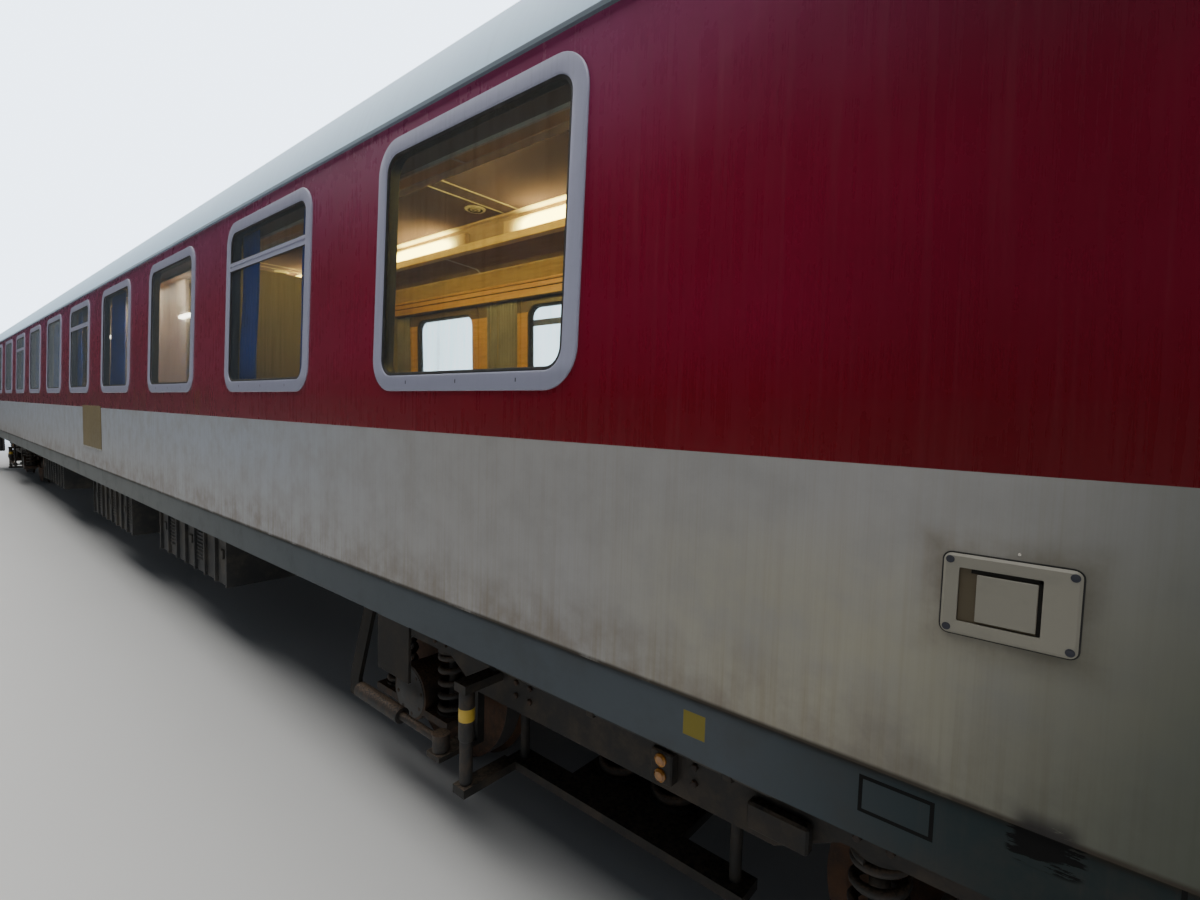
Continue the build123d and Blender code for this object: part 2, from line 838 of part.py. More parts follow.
with BuildPart() as tanks:
    for bay, length, y in air_tanks:
        middle = bay * window_pitch + length / 2
        tank_z = bearer_bottom - tank_radius - saddle_height
        with Locations((middle, y, tank_z)):
            Cylinder(tank_radius, length, rotation=(0, 90, 0))
        x = round(middle / window_pitch) * window_pitch
        box(
            (x - bearer_width / 2, x + bearer_width / 2),
            (y - saddle_half_width, y + saddle_half_width),
            (tank_z, bearer_bottom),
        )
save(tanks.part, "air_tanks")

# Bogie frames: two cranked side beams joined by two transoms, with lugs and damper brackets
beam_y_limits = (-journal_y - beam_width / 2, -journal_y + beam_width / 2)
with BuildPart() as bogie_frame:
    with BuildSketch(Plane.XZ.offset(journal_y)):
        with BuildLine():
            half = [
                (beam_crank_x, beam_bottom),
                (beam_rise_x, beam_end_bottom),
                (beam_half_length, beam_end_bottom),
                (beam_half_length, beam_end_top - beam_tip_cut[1]),
                (beam_half_length - beam_tip_cut[0], beam_end_top),
                (beam_rise_x, beam_end_top),
                (beam_crank_x, beam_top),
            ]
            Polyline(*half, *[(-x, z) for x, z in reversed(half)], close=True)
        make_face()
    extrude(amount=beam_width / 2, both=True)
    link_line = beam_y_limits[1] - link_radius - link_inset
    for x in (-spring_plank_link_x, spring_plank_link_x):
        with Locations((x, link_line, plank_top)):
            Cylinder(
                link_radius, beam_bottom - plank_top, align=(Align.CENTER, Align.CENTER, Align.MIN)
            )
    box(
        (-spring_plank_link_x - link_beam_half, spring_plank_link_x + link_beam_half),
        (link_line - link_beam_half, link_line + link_beam_half),
        (plank_top - plank_thickness, plank_top),
    )
    damper_top = beam_top - damper_bracket_drop
    half = damper_bracket_half
    for low, high in (
        (damper_top, damper_top + damper_bracket_thickness),
        (plank_top - plank_thickness, plank_top),
    ):
        box((upright_damper_x - half, upright_damper_x + half), (-damper_y - half, -journal_y), (low, high))
    lug_x = (yaw_damper_outer_x - lug_half_length, yaw_damper_outer_x + lug_half_length)
    lug_top = yaw_damper_z - yaw_damper_radius - lug_clearance
    box(lug_x, (beam_y_limits[0], beam_y_limits[0] + lug_thickness), (lug_top - lug_shelf, beam_bottom))
    box(
        lug_x,
        (-damper_y - yaw_damper_radius - lug_clearance, beam_y_limits[0] + lug_thickness),
        (lug_top - lug_shelf, lug_top),
    )
    mirror(about=Plane.XZ)
    for x in (-transom_x, transom_x):
        box(
            (x - transom_width / 2, x + transom_width / 2),
            (-journal_y + beam_width / 2, journal_y - beam_width / 2),
            (beam_bottom + transom_lift, beam_top - transom_drop),
        )
    box(
        (-plank_half_length, plank_half_length),
        (link_line + link_beam_half, -link_line - link_beam_half),
        (plank_top - plank_thickness, plank_top),
    )

# Bogie bolsters, with the bore of the centre pin and a bearer pad near each end
with BuildPart() as bogie_bolster:
    box(
        (-bogie_bolster_length / 2, bogie_bolster_length / 2),
        (-bogie_bolster_half_width, bogie_bolster_half_width),
        (bogie_bolster_top - bogie_bolster_height, bogie_bolster_top),
    )
    with Locations((0, -secondary_spring_y, bogie_bolster_top), (0, secondary_spring_y, bogie_bolster_top)):
        Cylinder(
            bearer_pad_radius,
            body_bolster_bottom - running_clearance - bogie_bolster_top,
            align=(Align.CENTER, Align.CENTER, Align.MIN),
        )
    with Locations((0, 0, bogie_bolster_top)):
        Cylinder(
            pivot_pin_radius + running_clearance,
            2 * bogie_bolster_height,
            align=(Align.CENTER, Align.CENTER, Align.CENTER),
            mode=Mode.SUBTRACT,
        )

# Axle boxes: a round housing with a wing on each side for its springs
with BuildPart() as axle_box:
    with BuildSketch(Plane.XZ.offset(journal_y - axle_box_length / 2)):
        with Locations((0, axle_z)):
            Circle(axle_box_radius)
        with Locations((0, axle_z - wing_drop - wing_thickness / 2)):
            Rectangle(2 * (spring_offset + primary_spring_radius), wing_thickness)
    extrude(amount=axle_box_length)
    with BuildSketch(Plane.XZ.offset(journal_y - axle_box_length / 2)):
        with Locations((0, axle_z)):
            Circle(journal_radius + running_clearance)
    extrude(amount=axle_box_length - axle_box_cover, mode=Mode.SUBTRACT)
    mirror(about=Plane.XZ)

# Springs: one at each side of an axle box, and two pairs under the bolster
wing_top = axle_z - wing_drop
with BuildPart() as springs:
    for x in (-wheelbase / 2, wheelbase / 2):
        for offset_x in (-spring_offset, spring_offset):
            for y in (-journal_y, journal_y):
                with Locations((x + offset_x, y, wing_top)):
                    Cylinder(
                        primary_spring_radius,
                        beam_end_bottom - wing_top,
                        align=(Align.CENTER, Align.CENTER, Align.MIN),
                    )
    for x in (-secondary_spring_x, secondary_spring_x):
        for y in (-secondary_spring_y, secondary_spring_y):
            with Locations((x, y, plank_top)):
                Cylinder(
                    secondary_spring_radius,
                    bogie_bolster_top - bogie_bolster_height - plank_top,
                    align=(Align.CENTER, Align.CENTER, Align.MIN),
                )

# Brake gear: at each disc a caliper with two pads, hung from its transom
with BuildPart() as caliper:
    pad_x = wheelbase / 2 - pad_inset_x
    reach_x = (transom_x + crosshead_end, pad_x + pad_length / 2)
    for side in (-1, 1):
        pad = disc_y + side * (disc_thickness / 2 + pad_clearance)
        box(
            (pad_x - pad_length / 2, pad_x + pad_length / 2),
            sorted((pad, pad + side * pad_thickness)),
            (axle_z - pad_height / 2, axle_z + pad_height / 2),
        )
        arm = pad + side * pad_thickness
        box(
            reach_x,
            sorted((arm, arm + side * arm_thickness)),
            (axle_z - arm_height / 2, axle_z + arm_height / 2),
        )
    arm_out = disc_thickness / 2 + pad_clearance + pad_thickness + arm_thickness
    box(
        (transom_x + crosshead_start, transom_x + crosshead_end),
        (disc_y - arm_out, disc_y + arm_out),
        (axle_z - crosshead_height / 2, axle_z + crosshead_height / 2),
    )
    box(
        (transom_x + brake_hanger_x[0], transom_x + brake_hanger_x[1]),
        (disc_y - brake_hanger_width / 2, disc_y + brake_hanger_width / 2),
        (axle_z + crosshead_height / 2, beam_bottom + transom_lift),
    )
with BuildPart() as dampers:
    with Locations((upright_damper_x, -damper_y, plank_top)):
        Cylinder(
            upright_damper_radius,
            damper_top - plank_top,
            align=(Align.CENTER, Align.CENTER, Align.MIN),
        )
calipers = [caliper.part, mirror(caliper.part, about=Plane.YZ)]
calipers += [mirror(item, about=Plane.XZ) for item in calipers]
upright_dampers = [dampers.part, mirror(dampers.part, about=Plane.XZ)]

boxes_at_axles = []
for x in (-wheelbase / 2, wheelbase / 2):
    boxes_at_axles += [Pos(x, 0, 0) * solid for solid in axle_box.part.solids()]

for pieces, name in (
    ([bogie_frame.part], "frame"),
    ([bogie_bolster.part], "bolster"),
    (boxes_at_axles, "axle_boxes"),
    (springs.part.solids() + upright_dampers, "suspension"),
    (calipers, "brakes"),
):
    at_pivot = [Pos(bogie_x, 0, 0) * piece for piece in pieces]
    whole = at_pivot[0] if len(at_pivot) == 1 else Compound(children=at_pivot)
    save_pair(whole, f"bogie_front_{name}", f"bogie_rear_{name}")

# Wheelsets: an axle with its two wheels and two brake discs
journal_end_y = journal_y + axle_box_length / 2 - axle_box_cover - journal_end_gap
with BuildPart() as wheelset:
    with BuildSketch(Plane.YZ):
        with BuildLine():
            Polyline(
                (0, 0),
                (0, axle_radius),
                (disc_y - disc_thickness / 2, axle_radius),
                (disc_y - disc_thickness / 2, disc_radius),
                (disc_y + disc_thickness / 2, disc_radius),
                (disc_y + disc_thickness / 2, axle_radius),
                (wheel_inner_y, axle_radius),
                (wheel_inner_y, wheel_radius + flange_height),
                (wheel_inner_y + flange_width, wheel_radius),
                (wheel_inner_y + rim_width, wheel_radius),
                (wheel_inner_y + rim_width, rim_radius),
                (wheel_inner_y + web_y, hub_radius),
                (wheel_inner_y + hub_width, hub_radius),
                (wheel_inner_y + hub_width, journal_radius),
                (journal_end_y, journal_radius),
                (journal_end_y, 0),
                close=True,
            )
        make_face()
    revolve(axis=Axis.Y)
    mirror(about=Plane.XZ)
for number, x in enumerate(
    (
        bogie_x + wheelbase / 2,
        bogie_x - wheelbase / 2,
        -bogie_x + wheelbase / 2,
        -bogie_x - wheelbase / 2,
    ),
    1,
):
    save(Pos(x, 0, axle_z) * wheelset.part, f"wheelset_{number}")

# Yaw dampers: each runs from its strut on the underframe to above the lug of a bogie beam
with BuildPart() as yaw_damper:
    strut_face = bogie_x + yaw_damper_inner_x + strut_width / 2 + running_clearance
    eye_x = bogie_x + yaw_damper_outer_x
    for radius, length in (
        (yaw_damper_radius, yaw_damper_body),
        (yaw_damper_radius * 0.5, eye_x - strut_face),
    ):
        with Locations((strut_face + length / 2, -damper_y, yaw_damper_z)):
            Cylinder(radius, length, rotation=(0, 90, 0))
    with Locations((eye_x, -damper_y, yaw_damper_z)):
        Cylinder(yaw_damper_radius, 2 * yaw_damper_radius)
yaw_near = [yaw_damper.part, mirror(yaw_damper.part, about=Plane.YZ)]
save(Compound(children=yaw_near + [mirror(item, about=Plane.XZ) for item in yaw_near]), "yaw_dampers")

# Lamps at the ends: a round housing with its lens
with BuildPart() as lamps:
    for y in (-lamp_y, lamp_y):
        with Locations((half_length, y, lamp_z)):
            Cylinder(
                lamp_radius, lamp_depth, rotation=(0, 90, 0), align=(Align.CENTER, Align.CENTER, Align.MIN)
            )
    mirror(about=Plane.YZ)
save(lamps.part, "lamps")

# Latch plates beside the doors: a raised rim round a recess, with a flap at the door's side of it
with BuildPart() as latch:
    recess_x = latch_x - latch_recess_shift
    flap_x = recess_x + (latch_recess_width - latch_flap_width) / 2 - latch_flap_gap
    with BuildSketch(Plane.XZ.offset(half_width)):
        with Locations((latch_x, latch_z)):
            RectangleRounded(latch_width, latch_height, latch_corner)
        with Locations((recess_x, latch_z)):
            Rectangle(latch_recess_width, latch_recess_height, mode=Mode.SUBTRACT)
    extrude(amount=latch_rim)
    for x, width, height, rise in (
        (recess_x, latch_recess_width, latch_recess_height, latch_floor),
        (flap_x, latch_flap_width, latch_recess_height - 2 * latch_flap_gap, latch_flap_rise),
    ):
        with BuildSketch(Plane.XZ.offset(half_width)):
            with Locations((x, latch_z)):
                Rectangle(width, height)
        extrude(amount=rise)
save(Compound(children=[latch.part, Rot(0, 0, 180) * latch.part]), "latch_plates")

# Partitions: bulkheads with doorways, the corridor wall and the walls between compartments
wall_top = ceiling_knee[1] - ceiling_gap
wall_end_y = inner_wall_y(ceiling_edge_z - ceiling_gap) - partition_gap


def cross_wall(x, low, high):
    """A wall across the coach between two y limits, with its top cut to the ceiling's slope."""
    with BuildSketch(Plane.YZ.offset(x - partition_thickness / 2)) as outline:
        with BuildLine():
            half = [
                (wall_end_y, floor_top),
                (wall_end_y, ceiling_edge_z - ceiling_gap),
                (ceiling_knee[0], wall_top),
            ]
            Polyline(*half, *[(-y, z) for y, z in reversed(half)], close=True)
        make_face()
        with Locations(((low + high) / 2, floor_top)):
            Rectangle(
                high - low,
                wall_top - floor_top,
                align=(Align.CENTER, Align.MIN),
                mode=Mode.INTERSECT,
            )
    extrude(outline.sketch, amount=partition_thickness)


with BuildPart() as partitions:
    half = partition_thickness / 2
    for x in (vestibule_x, saloon_end_x, -vestibule_x):
        cross_wall(x, -wall_end_y, -doorway_width / 2)
        cross_wall(x, doorway_width / 2, wall_end_y)
    for i in range(cabin_count + 1):
        start = half if i == 0 else half + partition_gap
        cross_wall(saloon_inner_x - i * window_pitch, corridor_y + start, wall_end_y)
    for i in range(cabin_count):
        middle = saloon_inner_x - (i + 0.5) * window_pitch
        rear = half + partition_gap if i == cabin_count - 1 else partition_gap / 2
        front = half + partition_gap if i == 0 else partition_gap / 2
        for limits in (
            (middle - window_pitch / 2 + rear, middle - doorway_width / 2),
            (middle + doorway_width / 2, middle + window_pitch / 2 - front),
        ):
            box(limits, (corridor_y - half, corridor_y + half), (floor_top, wall_top))
save(partitions.part, "partitions")


def bench(back_x, face, y):
    """A bench with its back toward back_x; face is the way it looks along X."""
    with BuildSketch(Plane.XZ.offset(-y[1])) as section:
        with BuildLine():
            Polyline(
                (back_x, floor_top + bench_base),
                (back_x + face * bench_depth, floor_top + bench_base),
                (back_x + face * bench_depth, floor_top + bench_height),
                (back_x + face * bench_back_thickness * 1.2, floor_top + bench_height),
                (back_x + face * bench_back_thickness, floor_top + bench_back_height),
                (back_x, floor_top + bench_back_height),
                close=True,
            )
        make_face()
    extrude(section.sketch, amount=y[1] - y[0])
    back, front = bench_foot_inset
    foot = sorted((back_x + face * back, back_x + face * (bench_depth - front)))
    box(foot, (y[0] + bench_foot_end, y[1] - bench_foot_end), (floor_top, floor_top + bench_base))


saloon_bays = [x for x in windows_x if saloon_inner_x < x < saloon_end_x]
with BuildPart() as seats:
    for x in saloon_bays:
        back_offset = window_pitch / 2 - bench_gap
        for y in ((-lining_y, -aisle_half_width), (aisle_half_width, lining_y)):
            bench(x - back_offset, 1, y)
            bench(x + back_offset, -1, y)
    for i in range(cabin_count):
        middle = saloon_inner_x - (i + 0.5) * window_pitch
        half = window_pitch / 2 - partition_thickness / 2 - 1
        for face in (-1, 1):
            bench(middle - face * half, face, (corridor_y + bench_aisle_gap, lining_y))
save(seats.part, "seats")

with BuildPart() as tables:
    for x in saloon_bays:
        for side in (-1, 1):
            y = sorted((side * (aisle_half_width + table_aisle_gap), side * (lining_y + table_wall_lap)))
            top = floor_top + table_height
            box((x - table_half_length, x + table_half_length), y, (top - table_thickness, top))
            leg_y = sum(y) / 2
            box(
                (x - table_leg / 2, x + table_leg / 2),
                (leg_y - table_leg / 2, leg_y + table_leg / 2),
                (floor_top, top - table_thickness),
            )
save(tables.part, "tables")

# Pelmets above the windows, curtains at the window sides, and lights on the ceiling's coves
with BuildPart() as pelmets:
    wall = inner_wall_y(pelmet_z + pelmet_height) - running_clearance
    for x in windows_x:
        for side in (-1, 1):
            y = sorted((side * (wall - pelmet_depth), side * wall))
            box((x - pelmet_length / 2, x + pelmet_length / 2), y, (pelmet_z, pelmet_z + pelmet_height))
save(pelmets.part, "pelmets")

with BuildPart() as curtains:
    y = inner_wall_y(pelmet_z) - curtain_wall_gap
    both_edges = (curtain_width, curtain_width)
    near_reach = glass_width / 2 + curtain_lap
    far_reach = window_pitch / 2 - partition_thickness / 2 - curtain_partition_gap
    for number, x in enumerate(windows_x):
        near = near_curtains[number] if number < len(near_curtains) else both_edges
        for side, reach, widths in ((-1, near_reach, near), (1, far_reach, both_edges)):
            limits = sorted((side * (y - curtain_thickness), side * y))
            for edge, width in zip((-1, 1), widths):
                if width:
                    outer = x + edge * reach
                    box(sorted((outer, outer - edge * width)), limits, (curtain_bottom, pelmet_z))
save(curtains.part, "curtains")

with BuildPart() as lights:
    lights_x = [saloon_end_x - light_end_gap - light_length / 2]
    lights_x += [x + light_shift for x in saloon_bays[1:]]
    lights_x += [saloon_inner_x - (i + 0.5) * window_pitch for i in range(cabin_count)]
    low = ceiling_cove[1] + light_lift
    for x in lights_x:
        for side in (-1, 1):
            y = sorted((side * (ceiling_cove[0] - light_width), side * ceiling_cove[0]))
            box((x - light_length / 2, x + light_length / 2), y, (low, low + light_height))
save(lights.part, "ceiling_lights")
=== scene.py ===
"""The looks of a passenger coach: its finishes, trim, bogie details, interior and light.

Metres throughout. +X runs along the coach toward the dining room's end, -Y is the side with
the corridor, which the camera sees, and +Z is up. The wheels stand on z = 0.
"""
from math import atan2, cos, pi, radians, sin, tan, tau

import bmesh
import bpy
from bpy.props import FloatProperty, FloatVectorProperty, IntProperty, PointerProperty
from bpy.types import Operator, Panel, PropertyGroup
from mathutils import Matrix, Vector, noise


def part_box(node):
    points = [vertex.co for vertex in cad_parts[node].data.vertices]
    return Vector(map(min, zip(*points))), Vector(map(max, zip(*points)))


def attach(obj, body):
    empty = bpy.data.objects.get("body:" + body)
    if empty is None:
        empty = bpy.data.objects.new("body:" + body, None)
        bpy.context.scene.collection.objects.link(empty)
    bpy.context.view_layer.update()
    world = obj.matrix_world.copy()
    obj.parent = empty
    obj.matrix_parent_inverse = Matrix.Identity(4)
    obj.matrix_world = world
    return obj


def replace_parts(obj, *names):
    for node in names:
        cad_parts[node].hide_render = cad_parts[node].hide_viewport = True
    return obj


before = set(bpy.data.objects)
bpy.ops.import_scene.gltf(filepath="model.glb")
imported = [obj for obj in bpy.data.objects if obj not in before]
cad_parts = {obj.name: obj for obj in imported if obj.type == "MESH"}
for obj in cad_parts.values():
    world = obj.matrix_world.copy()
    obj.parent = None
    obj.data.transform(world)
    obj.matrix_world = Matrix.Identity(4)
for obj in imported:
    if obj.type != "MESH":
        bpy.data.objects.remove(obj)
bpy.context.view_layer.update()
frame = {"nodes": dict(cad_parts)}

bl_info = {
    "name": "Passenger Coach",
    "version": (1, 0, 0),
    "blender": (4, 5, 0),
    "location": "3D View > Sidebar > Coach",
    "description": "Dresses a passenger coach with its paint, trim, bogies and interior",
    "category": "Object",
}

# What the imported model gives
BODY = "coach_body"
ENDS = (("front", 1), ("rear", -1))
SIDES = (("near", -1), ("far", 1))
WALL_LOW, WALL_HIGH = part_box("side_wall_near")
FLOOR_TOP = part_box("floor")[1].z
PELMET_LOW, PELMET_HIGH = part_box("pelmets")
PELMET_INNER = PELMET_HIGH.y - 0.09
LIGHT_LOW, LIGHT_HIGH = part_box("ceiling_lights")
CEILING_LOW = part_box("ceiling")[0]
HALF_WIDTH = -WALL_LOW.y
SOLE_LOW = WALL_LOW.z - 0.18
BOX_FACE = HALF_WIDTH - 0.1125

# Heights over the rail are FLANGE and more, because the flanges stand on z = 0
FLANGE = 0.028
AXLE_Z = FLANGE + 0.46
BOGIE_X, AXLE_X = 9.5, 1.3
END_X = 13.05
DOOR_FACE, LEAF_THICKNESS = 1.3505, 0.036
WALL_BREAK = FLANGE + 2.05
WALL_THICKNESS = 0.075
WALL_LEAN = atan2(HALF_WIDTH - WALL_THICKNESS + WALL_HIGH.y, WALL_HIGH.z - WALL_BREAK)
SALOON_REAR = 4.0
CORRIDOR_Y = -0.66

# The ceiling's section: the slopes' knees, the coves with the lights, and the raised middle
COVE_Y, COVE_Z = LIGHT_HIGH.y, LIGHT_LOW.z - 0.02
KNEE_Y, KNEE_Z = 1.0, COVE_Z - 0.022
RAFT_Z = LIGHT_LOW.z + 0.225

# Middles of the marks on the near side
LATCH_X, LATCH_Z = 10.846, FLANGE + 1.644
SQUARE_X, SQUARE_Z = 10.135, 1.146
RECTANGLE_X, RECTANGLE_Z = 10.663, 1.1535
SCUFF_X, SCUFF_Z = 10.935, 1.200
SEAM_X = 11.13

UP, DOWN = (0, 0, 1), (0, 0, -1)
# How sharply the paint changes at the waist, per metre
WAIST_EDGE = 4000.0


class Sock:
    """A number coming out of a node. Python's operators on it add Math nodes."""

    def __init__(self, material, socket):
        self.material = material
        self.socket = socket

    def maths(self, operation, *values):
        sockets = dict(enumerate(values))
        return self.material.node("ShaderNodeMath", {"operation": operation}, sockets)

    def __add__(self, other):
        return self.maths("ADD", self, other)

    __radd__ = __add__

    def __sub__(self, other):
        return self.maths("SUBTRACT", self, other)

    def __rsub__(self, other):
        return self.maths("SUBTRACT", other, self)

    def __mul__(self, other):
        return self.maths("MULTIPLY", self, other)

    __rmul__ = __mul__

    def __mod__(self, other):
        return self.maths("MODULO", self, other)

    def __pow__(self, other):
        return self.maths("POWER", self, other)

    def __gt__(self, other):
        return self.maths("GREATER_THAN", self, other)

    def __lt__(self, other):
        return self.maths("LESS_THAN", self, other)

    def __abs__(self):
        return self.maths("ABSOLUTE", self)

    def wave(self):
        return self.maths("SINE", self)

    def highest(self, other):
        return self.maths("MAXIMUM", self, other)

    def band(self, low, high):
        """Rises from 0 to 1 as the number goes from low to high, and stays there."""
        settings = {"clamp": True, "interpolation_type": "SMOOTHSTEP"}
        sockets = {0: self, 1: low, 2: high}
        return self.material.node("ShaderNodeMapRange", settings, sockets)


class Finish:
    """A material that is built from one Principled shader."""

    made = {}

    def __init__(self, name, **fixed):
        self.data = bpy.data.materials.new(name)
        self.data.use_nodes = True
        self.tree = self.data.node_tree
        self.shader = self.tree.nodes["Principled BSDF"]
        for socket, value in fixed.items():
            self.set(socket.replace("_", " "), value)
        Finish.made[name] = self.data

    def node(self, kind, settings=None, sockets=None, out=0):
        """Adds a node: its settings first, then the values or links of its sockets."""
        made = self.tree.nodes.new(kind)
        for key, value in (settings or {}).items():
            setattr(made, key, value)
        for key, value in (sockets or {}).items():
            self.plug(made.inputs[key], value)
        return Sock(self, made.outputs[out])

    def plug(self, socket, value):
        if isinstance(value, Sock):
            self.tree.links.new(value.socket, socket)
        elif hasattr(value, "__len__") and len(value) == 3 and len(socket.default_value) == 4:
            socket.default_value = (*value, 1)
        else:
            socket.default_value = value

    def set(self, socket, value):
        self.plug(self.shader.inputs[socket], value)
        return self

    def split(self, kind, out, axes):
        vector = self.node(kind, out=out)
        return [self.node("ShaderNodeSeparateXYZ", None, {0: vector}, "xyz".index(axis)) for axis in axes]

    def place(self, axes="xyz"):
        """The point being shaded, in the coach's own metres, on each of the axes."""
        return self.split("ShaderNodeTexCoord", 3, axes)

    def normal(self, axes):
        return self.split("ShaderNodeNewGeometry", 1, axes)

    def noise(self, scale, detail=3.0, rough=0.55, vector=None, distortion=0.0):
        vector = vector or self.node("ShaderNodeTexCoord", out=3)
        sockets = {"Vector": vector, "Scale": scale, "Detail": detail, "Roughness": rough}
        sockets["Distortion"] = distortion
        return self.node("ShaderNodeTexNoise", None, sockets)

    def grain(self, x, y, z, detail=4, rough=0.7, distortion=0.0):
        """Noise over three numbers, which stretch it where they are axes at scales of their own."""
        vector = self.node("ShaderNodeCombineXYZ", None, {0: x, 1: y, 2: z})
        return self.noise(1.0, detail, rough, vector, distortion)

    def cells(self, scale):
        vector = self.node("ShaderNodeTexCoord", out=3)
        return self.node("ShaderNodeTexVoronoi", None, {"Vector": vector, "Scale": scale})

    def mix(self, low, high, factor):
        """Goes from one colour to another."""
        return self.node("ShaderNodeMix", {"data_type": "RGBA"}, {0: factor, 6: low, 7: high}, 2)

    def layers(self, colour, *coats):
        """Lays coats on a colour one after another. Each is a colour and how far it covers."""
        for coat, cover in coats:
            colour = self.mix(colour, coat, cover)
        return colour

    def bump(self, height, distance, strength=1.0):
        sockets = {"Height": height, "Distance": distance, "Strength": strength}
        return self.set("Normal", self.node("ShaderNodeBump", None, sockets))


class Sky(Finish):
    """The surroundings: bright where they are seen, and dim where they light or are mirrored."""

    def __init__(self, name, colour, seen, shed):
        self.data = bpy.data.worlds.new(name)
        self.data.use_nodes = True
        self.tree = self.data.node_tree
        self.shader = self.tree.nodes["Background"]
        self.set("Color", colour)
        direct = self.node("ShaderNodeLightPath", out="Is Camera Ray")
        through = self.node("ShaderNodeLightPath", out="Is Transmission Ray")
        bounces = self.node("ShaderNodeLightPath", out="Diffuse Depth")
        bounces += self.node("ShaderNodeLightPath", out="Glossy Depth")
        mirrored = self.node("ShaderNodeLightPath", out="Is Glossy Ray")
        clear = direct.highest(through * (bounces < 0.5))
        self.set("Strength", clear * (seen - shed) + shed - mirrored * (shed * 0.5))


class Form:
    """Points and faces that are gathered into one mesh."""

    def __init__(self):
        self.points = []
        self.faces = []

    def add(self, points, faces):
        start = len(self.points)
        self.points += [tuple(point) for point in points]
        self.faces += [tuple(start + i for i in face) for face in faces]
        return self

    def rows(self, rows, ring=True):
        """Skins rows of points; ring joins each row's ends."""
        count = len(rows[0])
        faces = []
        for i in range(len(rows) - 1):
            near, far = i * count, (i + 1) * count
            for j in range(count if ring else count - 1):
                k = (j + 1) % count
                faces.append((near + j, near + k, far + k, far + j))
        return self.add([point for row in rows for point in row], faces)

    def block(self, corner, opposite, edge=0.0):
        """A box between two corners, with its edges cut off at 45 degrees where edge is given."""
        (x0, x1), (y0, y1), (z0, z1) = (sorted(limits) for limits in zip(corner, opposite))
        outline = chamfered(x0, y0, x1, y1, edge)
        levels = [(outline, z0), (outline, z1)]
        if edge:
            inner = chamfered(x0 + edge, y0 + edge, x1 - edge, y1 - edge, edge * 0.4)
            levels = [(inner, z0), (outline, z0 + edge), (outline, z1 - edge), (inner, z1)]
        return self.capped([[(x, y, z) for x, y in ring] for ring, z in levels])

    def capped(self, rows):
        """Skins closed rows and closes both ends."""
        count = len(rows[0])
        start = len(self.points)
        self.rows(rows)
        last = start + count * (len(rows) - 1)
        self.faces.append(tuple(reversed(range(start, start + count))))
        self.faces.append(tuple(range(last, last + count)))
        return self

    def turned(self, centre, axis, profile, count=24):
        """Turns a profile of (distance along the axis, radius) about an axis through centre."""
        along = Vector(axis).normalized()
        across, up = frame_of(along)
        centre = Vector(centre)
        rows = []
        for reach, radius in profile:
            middle = centre + along * reach
            rows.append([middle + (across * cos(a) + up * sin(a)) * radius for a in angles(count)])
        return self.capped(rows)

    def tube(self, path, radius, count=10):
        """A round tube along a path of points."""
        rows = []
        path = [Vector(point) for point in path]
        up = None
        for i, point in enumerate(path):
            along = (path[min(i + 1, len(path) - 1)] - path[max(i - 1, 0)]).normalized()
            across, up = frame_of(along, up)
            rows.append([point + (across * cos(a) + up * sin(a)) * radius for a in angles(count)])
        return self.capped(rows)

    def piece(self, name, finish, slot, body=BODY, smooth=30.0):
        """Makes the object and lets it ride on a body."""
        mesh = bpy.data.meshes.new(name)
        mesh.from_pydata(self.points, [], self.faces)
        mesh.validate()
        work = bmesh.new()
        work.from_mesh(mesh)
        bmesh.ops.recalc_face_normals(work, faces=work.faces)
        work.to_mesh(mesh)
        work.free()
        piece = bpy.data.objects.new(name, mesh)
        bpy.context.scene.collection.objects.link(piece)
        mesh.materials.append(Finish.made[finish])
        mesh.shade_smooth()
        mesh.set_sharp_from_angle(angle=radians(smooth))
        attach(piece, body)
        return piece


def forms(count):
    return [Form() for _ in range(count)]


def angles(count, start=0.0):
    return [start + tau * i / count for i in range(count)]


def frame_of(along, up=None):
    """Two directions across a line, kept close to the last ones along a path."""
    guess = up or (Vector((0, 0, 1)) if abs(along.z) < 0.9 else Vector((1, 0, 0)))
    across = along.cross(guess).normalized()
    return across, across.cross(along).normalized()


def chamfered(x0, y0, x1, y1, cut):
    """A rectangle's outline with its corners cut off."""
    if not cut:
        return [(x0, y0), (x1, y0), (x1, y1), (x0, y1)]
    return [
        (x0 + cut, y0),
        (x1 - cut, y0),
        (x1, y0 + cut),
        (x1, y1 - cut),
        (x1 - cut, y1),
        (x0 + cut, y1),
        (x0, y1 - cut),
        (x0, y0 + cut),
    ]


def rounded(width, height, radius, steps=10):
    """A rounded rectangle's outline about the origin, anticlockwise."""
    points = []
    for turn, (sx, sy) in enumerate(((1, 1), (-1, 1), (-1, -1), (1, -1))):
        centre = (sx * (width / 2 - radius), sy * (height / 2 - radius))
        for step in range(steps + 1):
            a = (turn + step / steps) * pi / 2
            points.append((centre[0] + radius * cos(a), centre[1] + radius * sin(a)))
    return points


def on_wall(side, x, rise, out=0.0):
    """A point on a side wall's leaning part: along it, up it from its lower edge, and out of it."""
    y = HALF_WIDTH - rise * sin(WALL_LEAN) + out * cos(WALL_LEAN)
    z = WALL_BREAK + rise * cos(WALL_LEAN) + out * sin(WALL_LEAN)
    return (x, side * y, z)


def inner_wall_y(z):
    """Half the width between the side walls at a height."""
    lean = max(0.0, z - WALL_BREAK) * tan(WALL_LEAN)
    return HALF_WIDTH - WALL_THICKNESS - lean


def paint(nodes, finish):
    """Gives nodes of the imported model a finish."""
    for name in nodes:
        slots = frame["nodes"][name].data.materials
        slots.clear()
        slots.append(Finish.made[finish])


def length(name, description, default):
    return FloatProperty(name=name, description=description, default=default, unit="LENGTH")


def paint_colour(name, description, default):
    return FloatVectorProperty(name=name, description=description, default=default, subtype="COLOR")


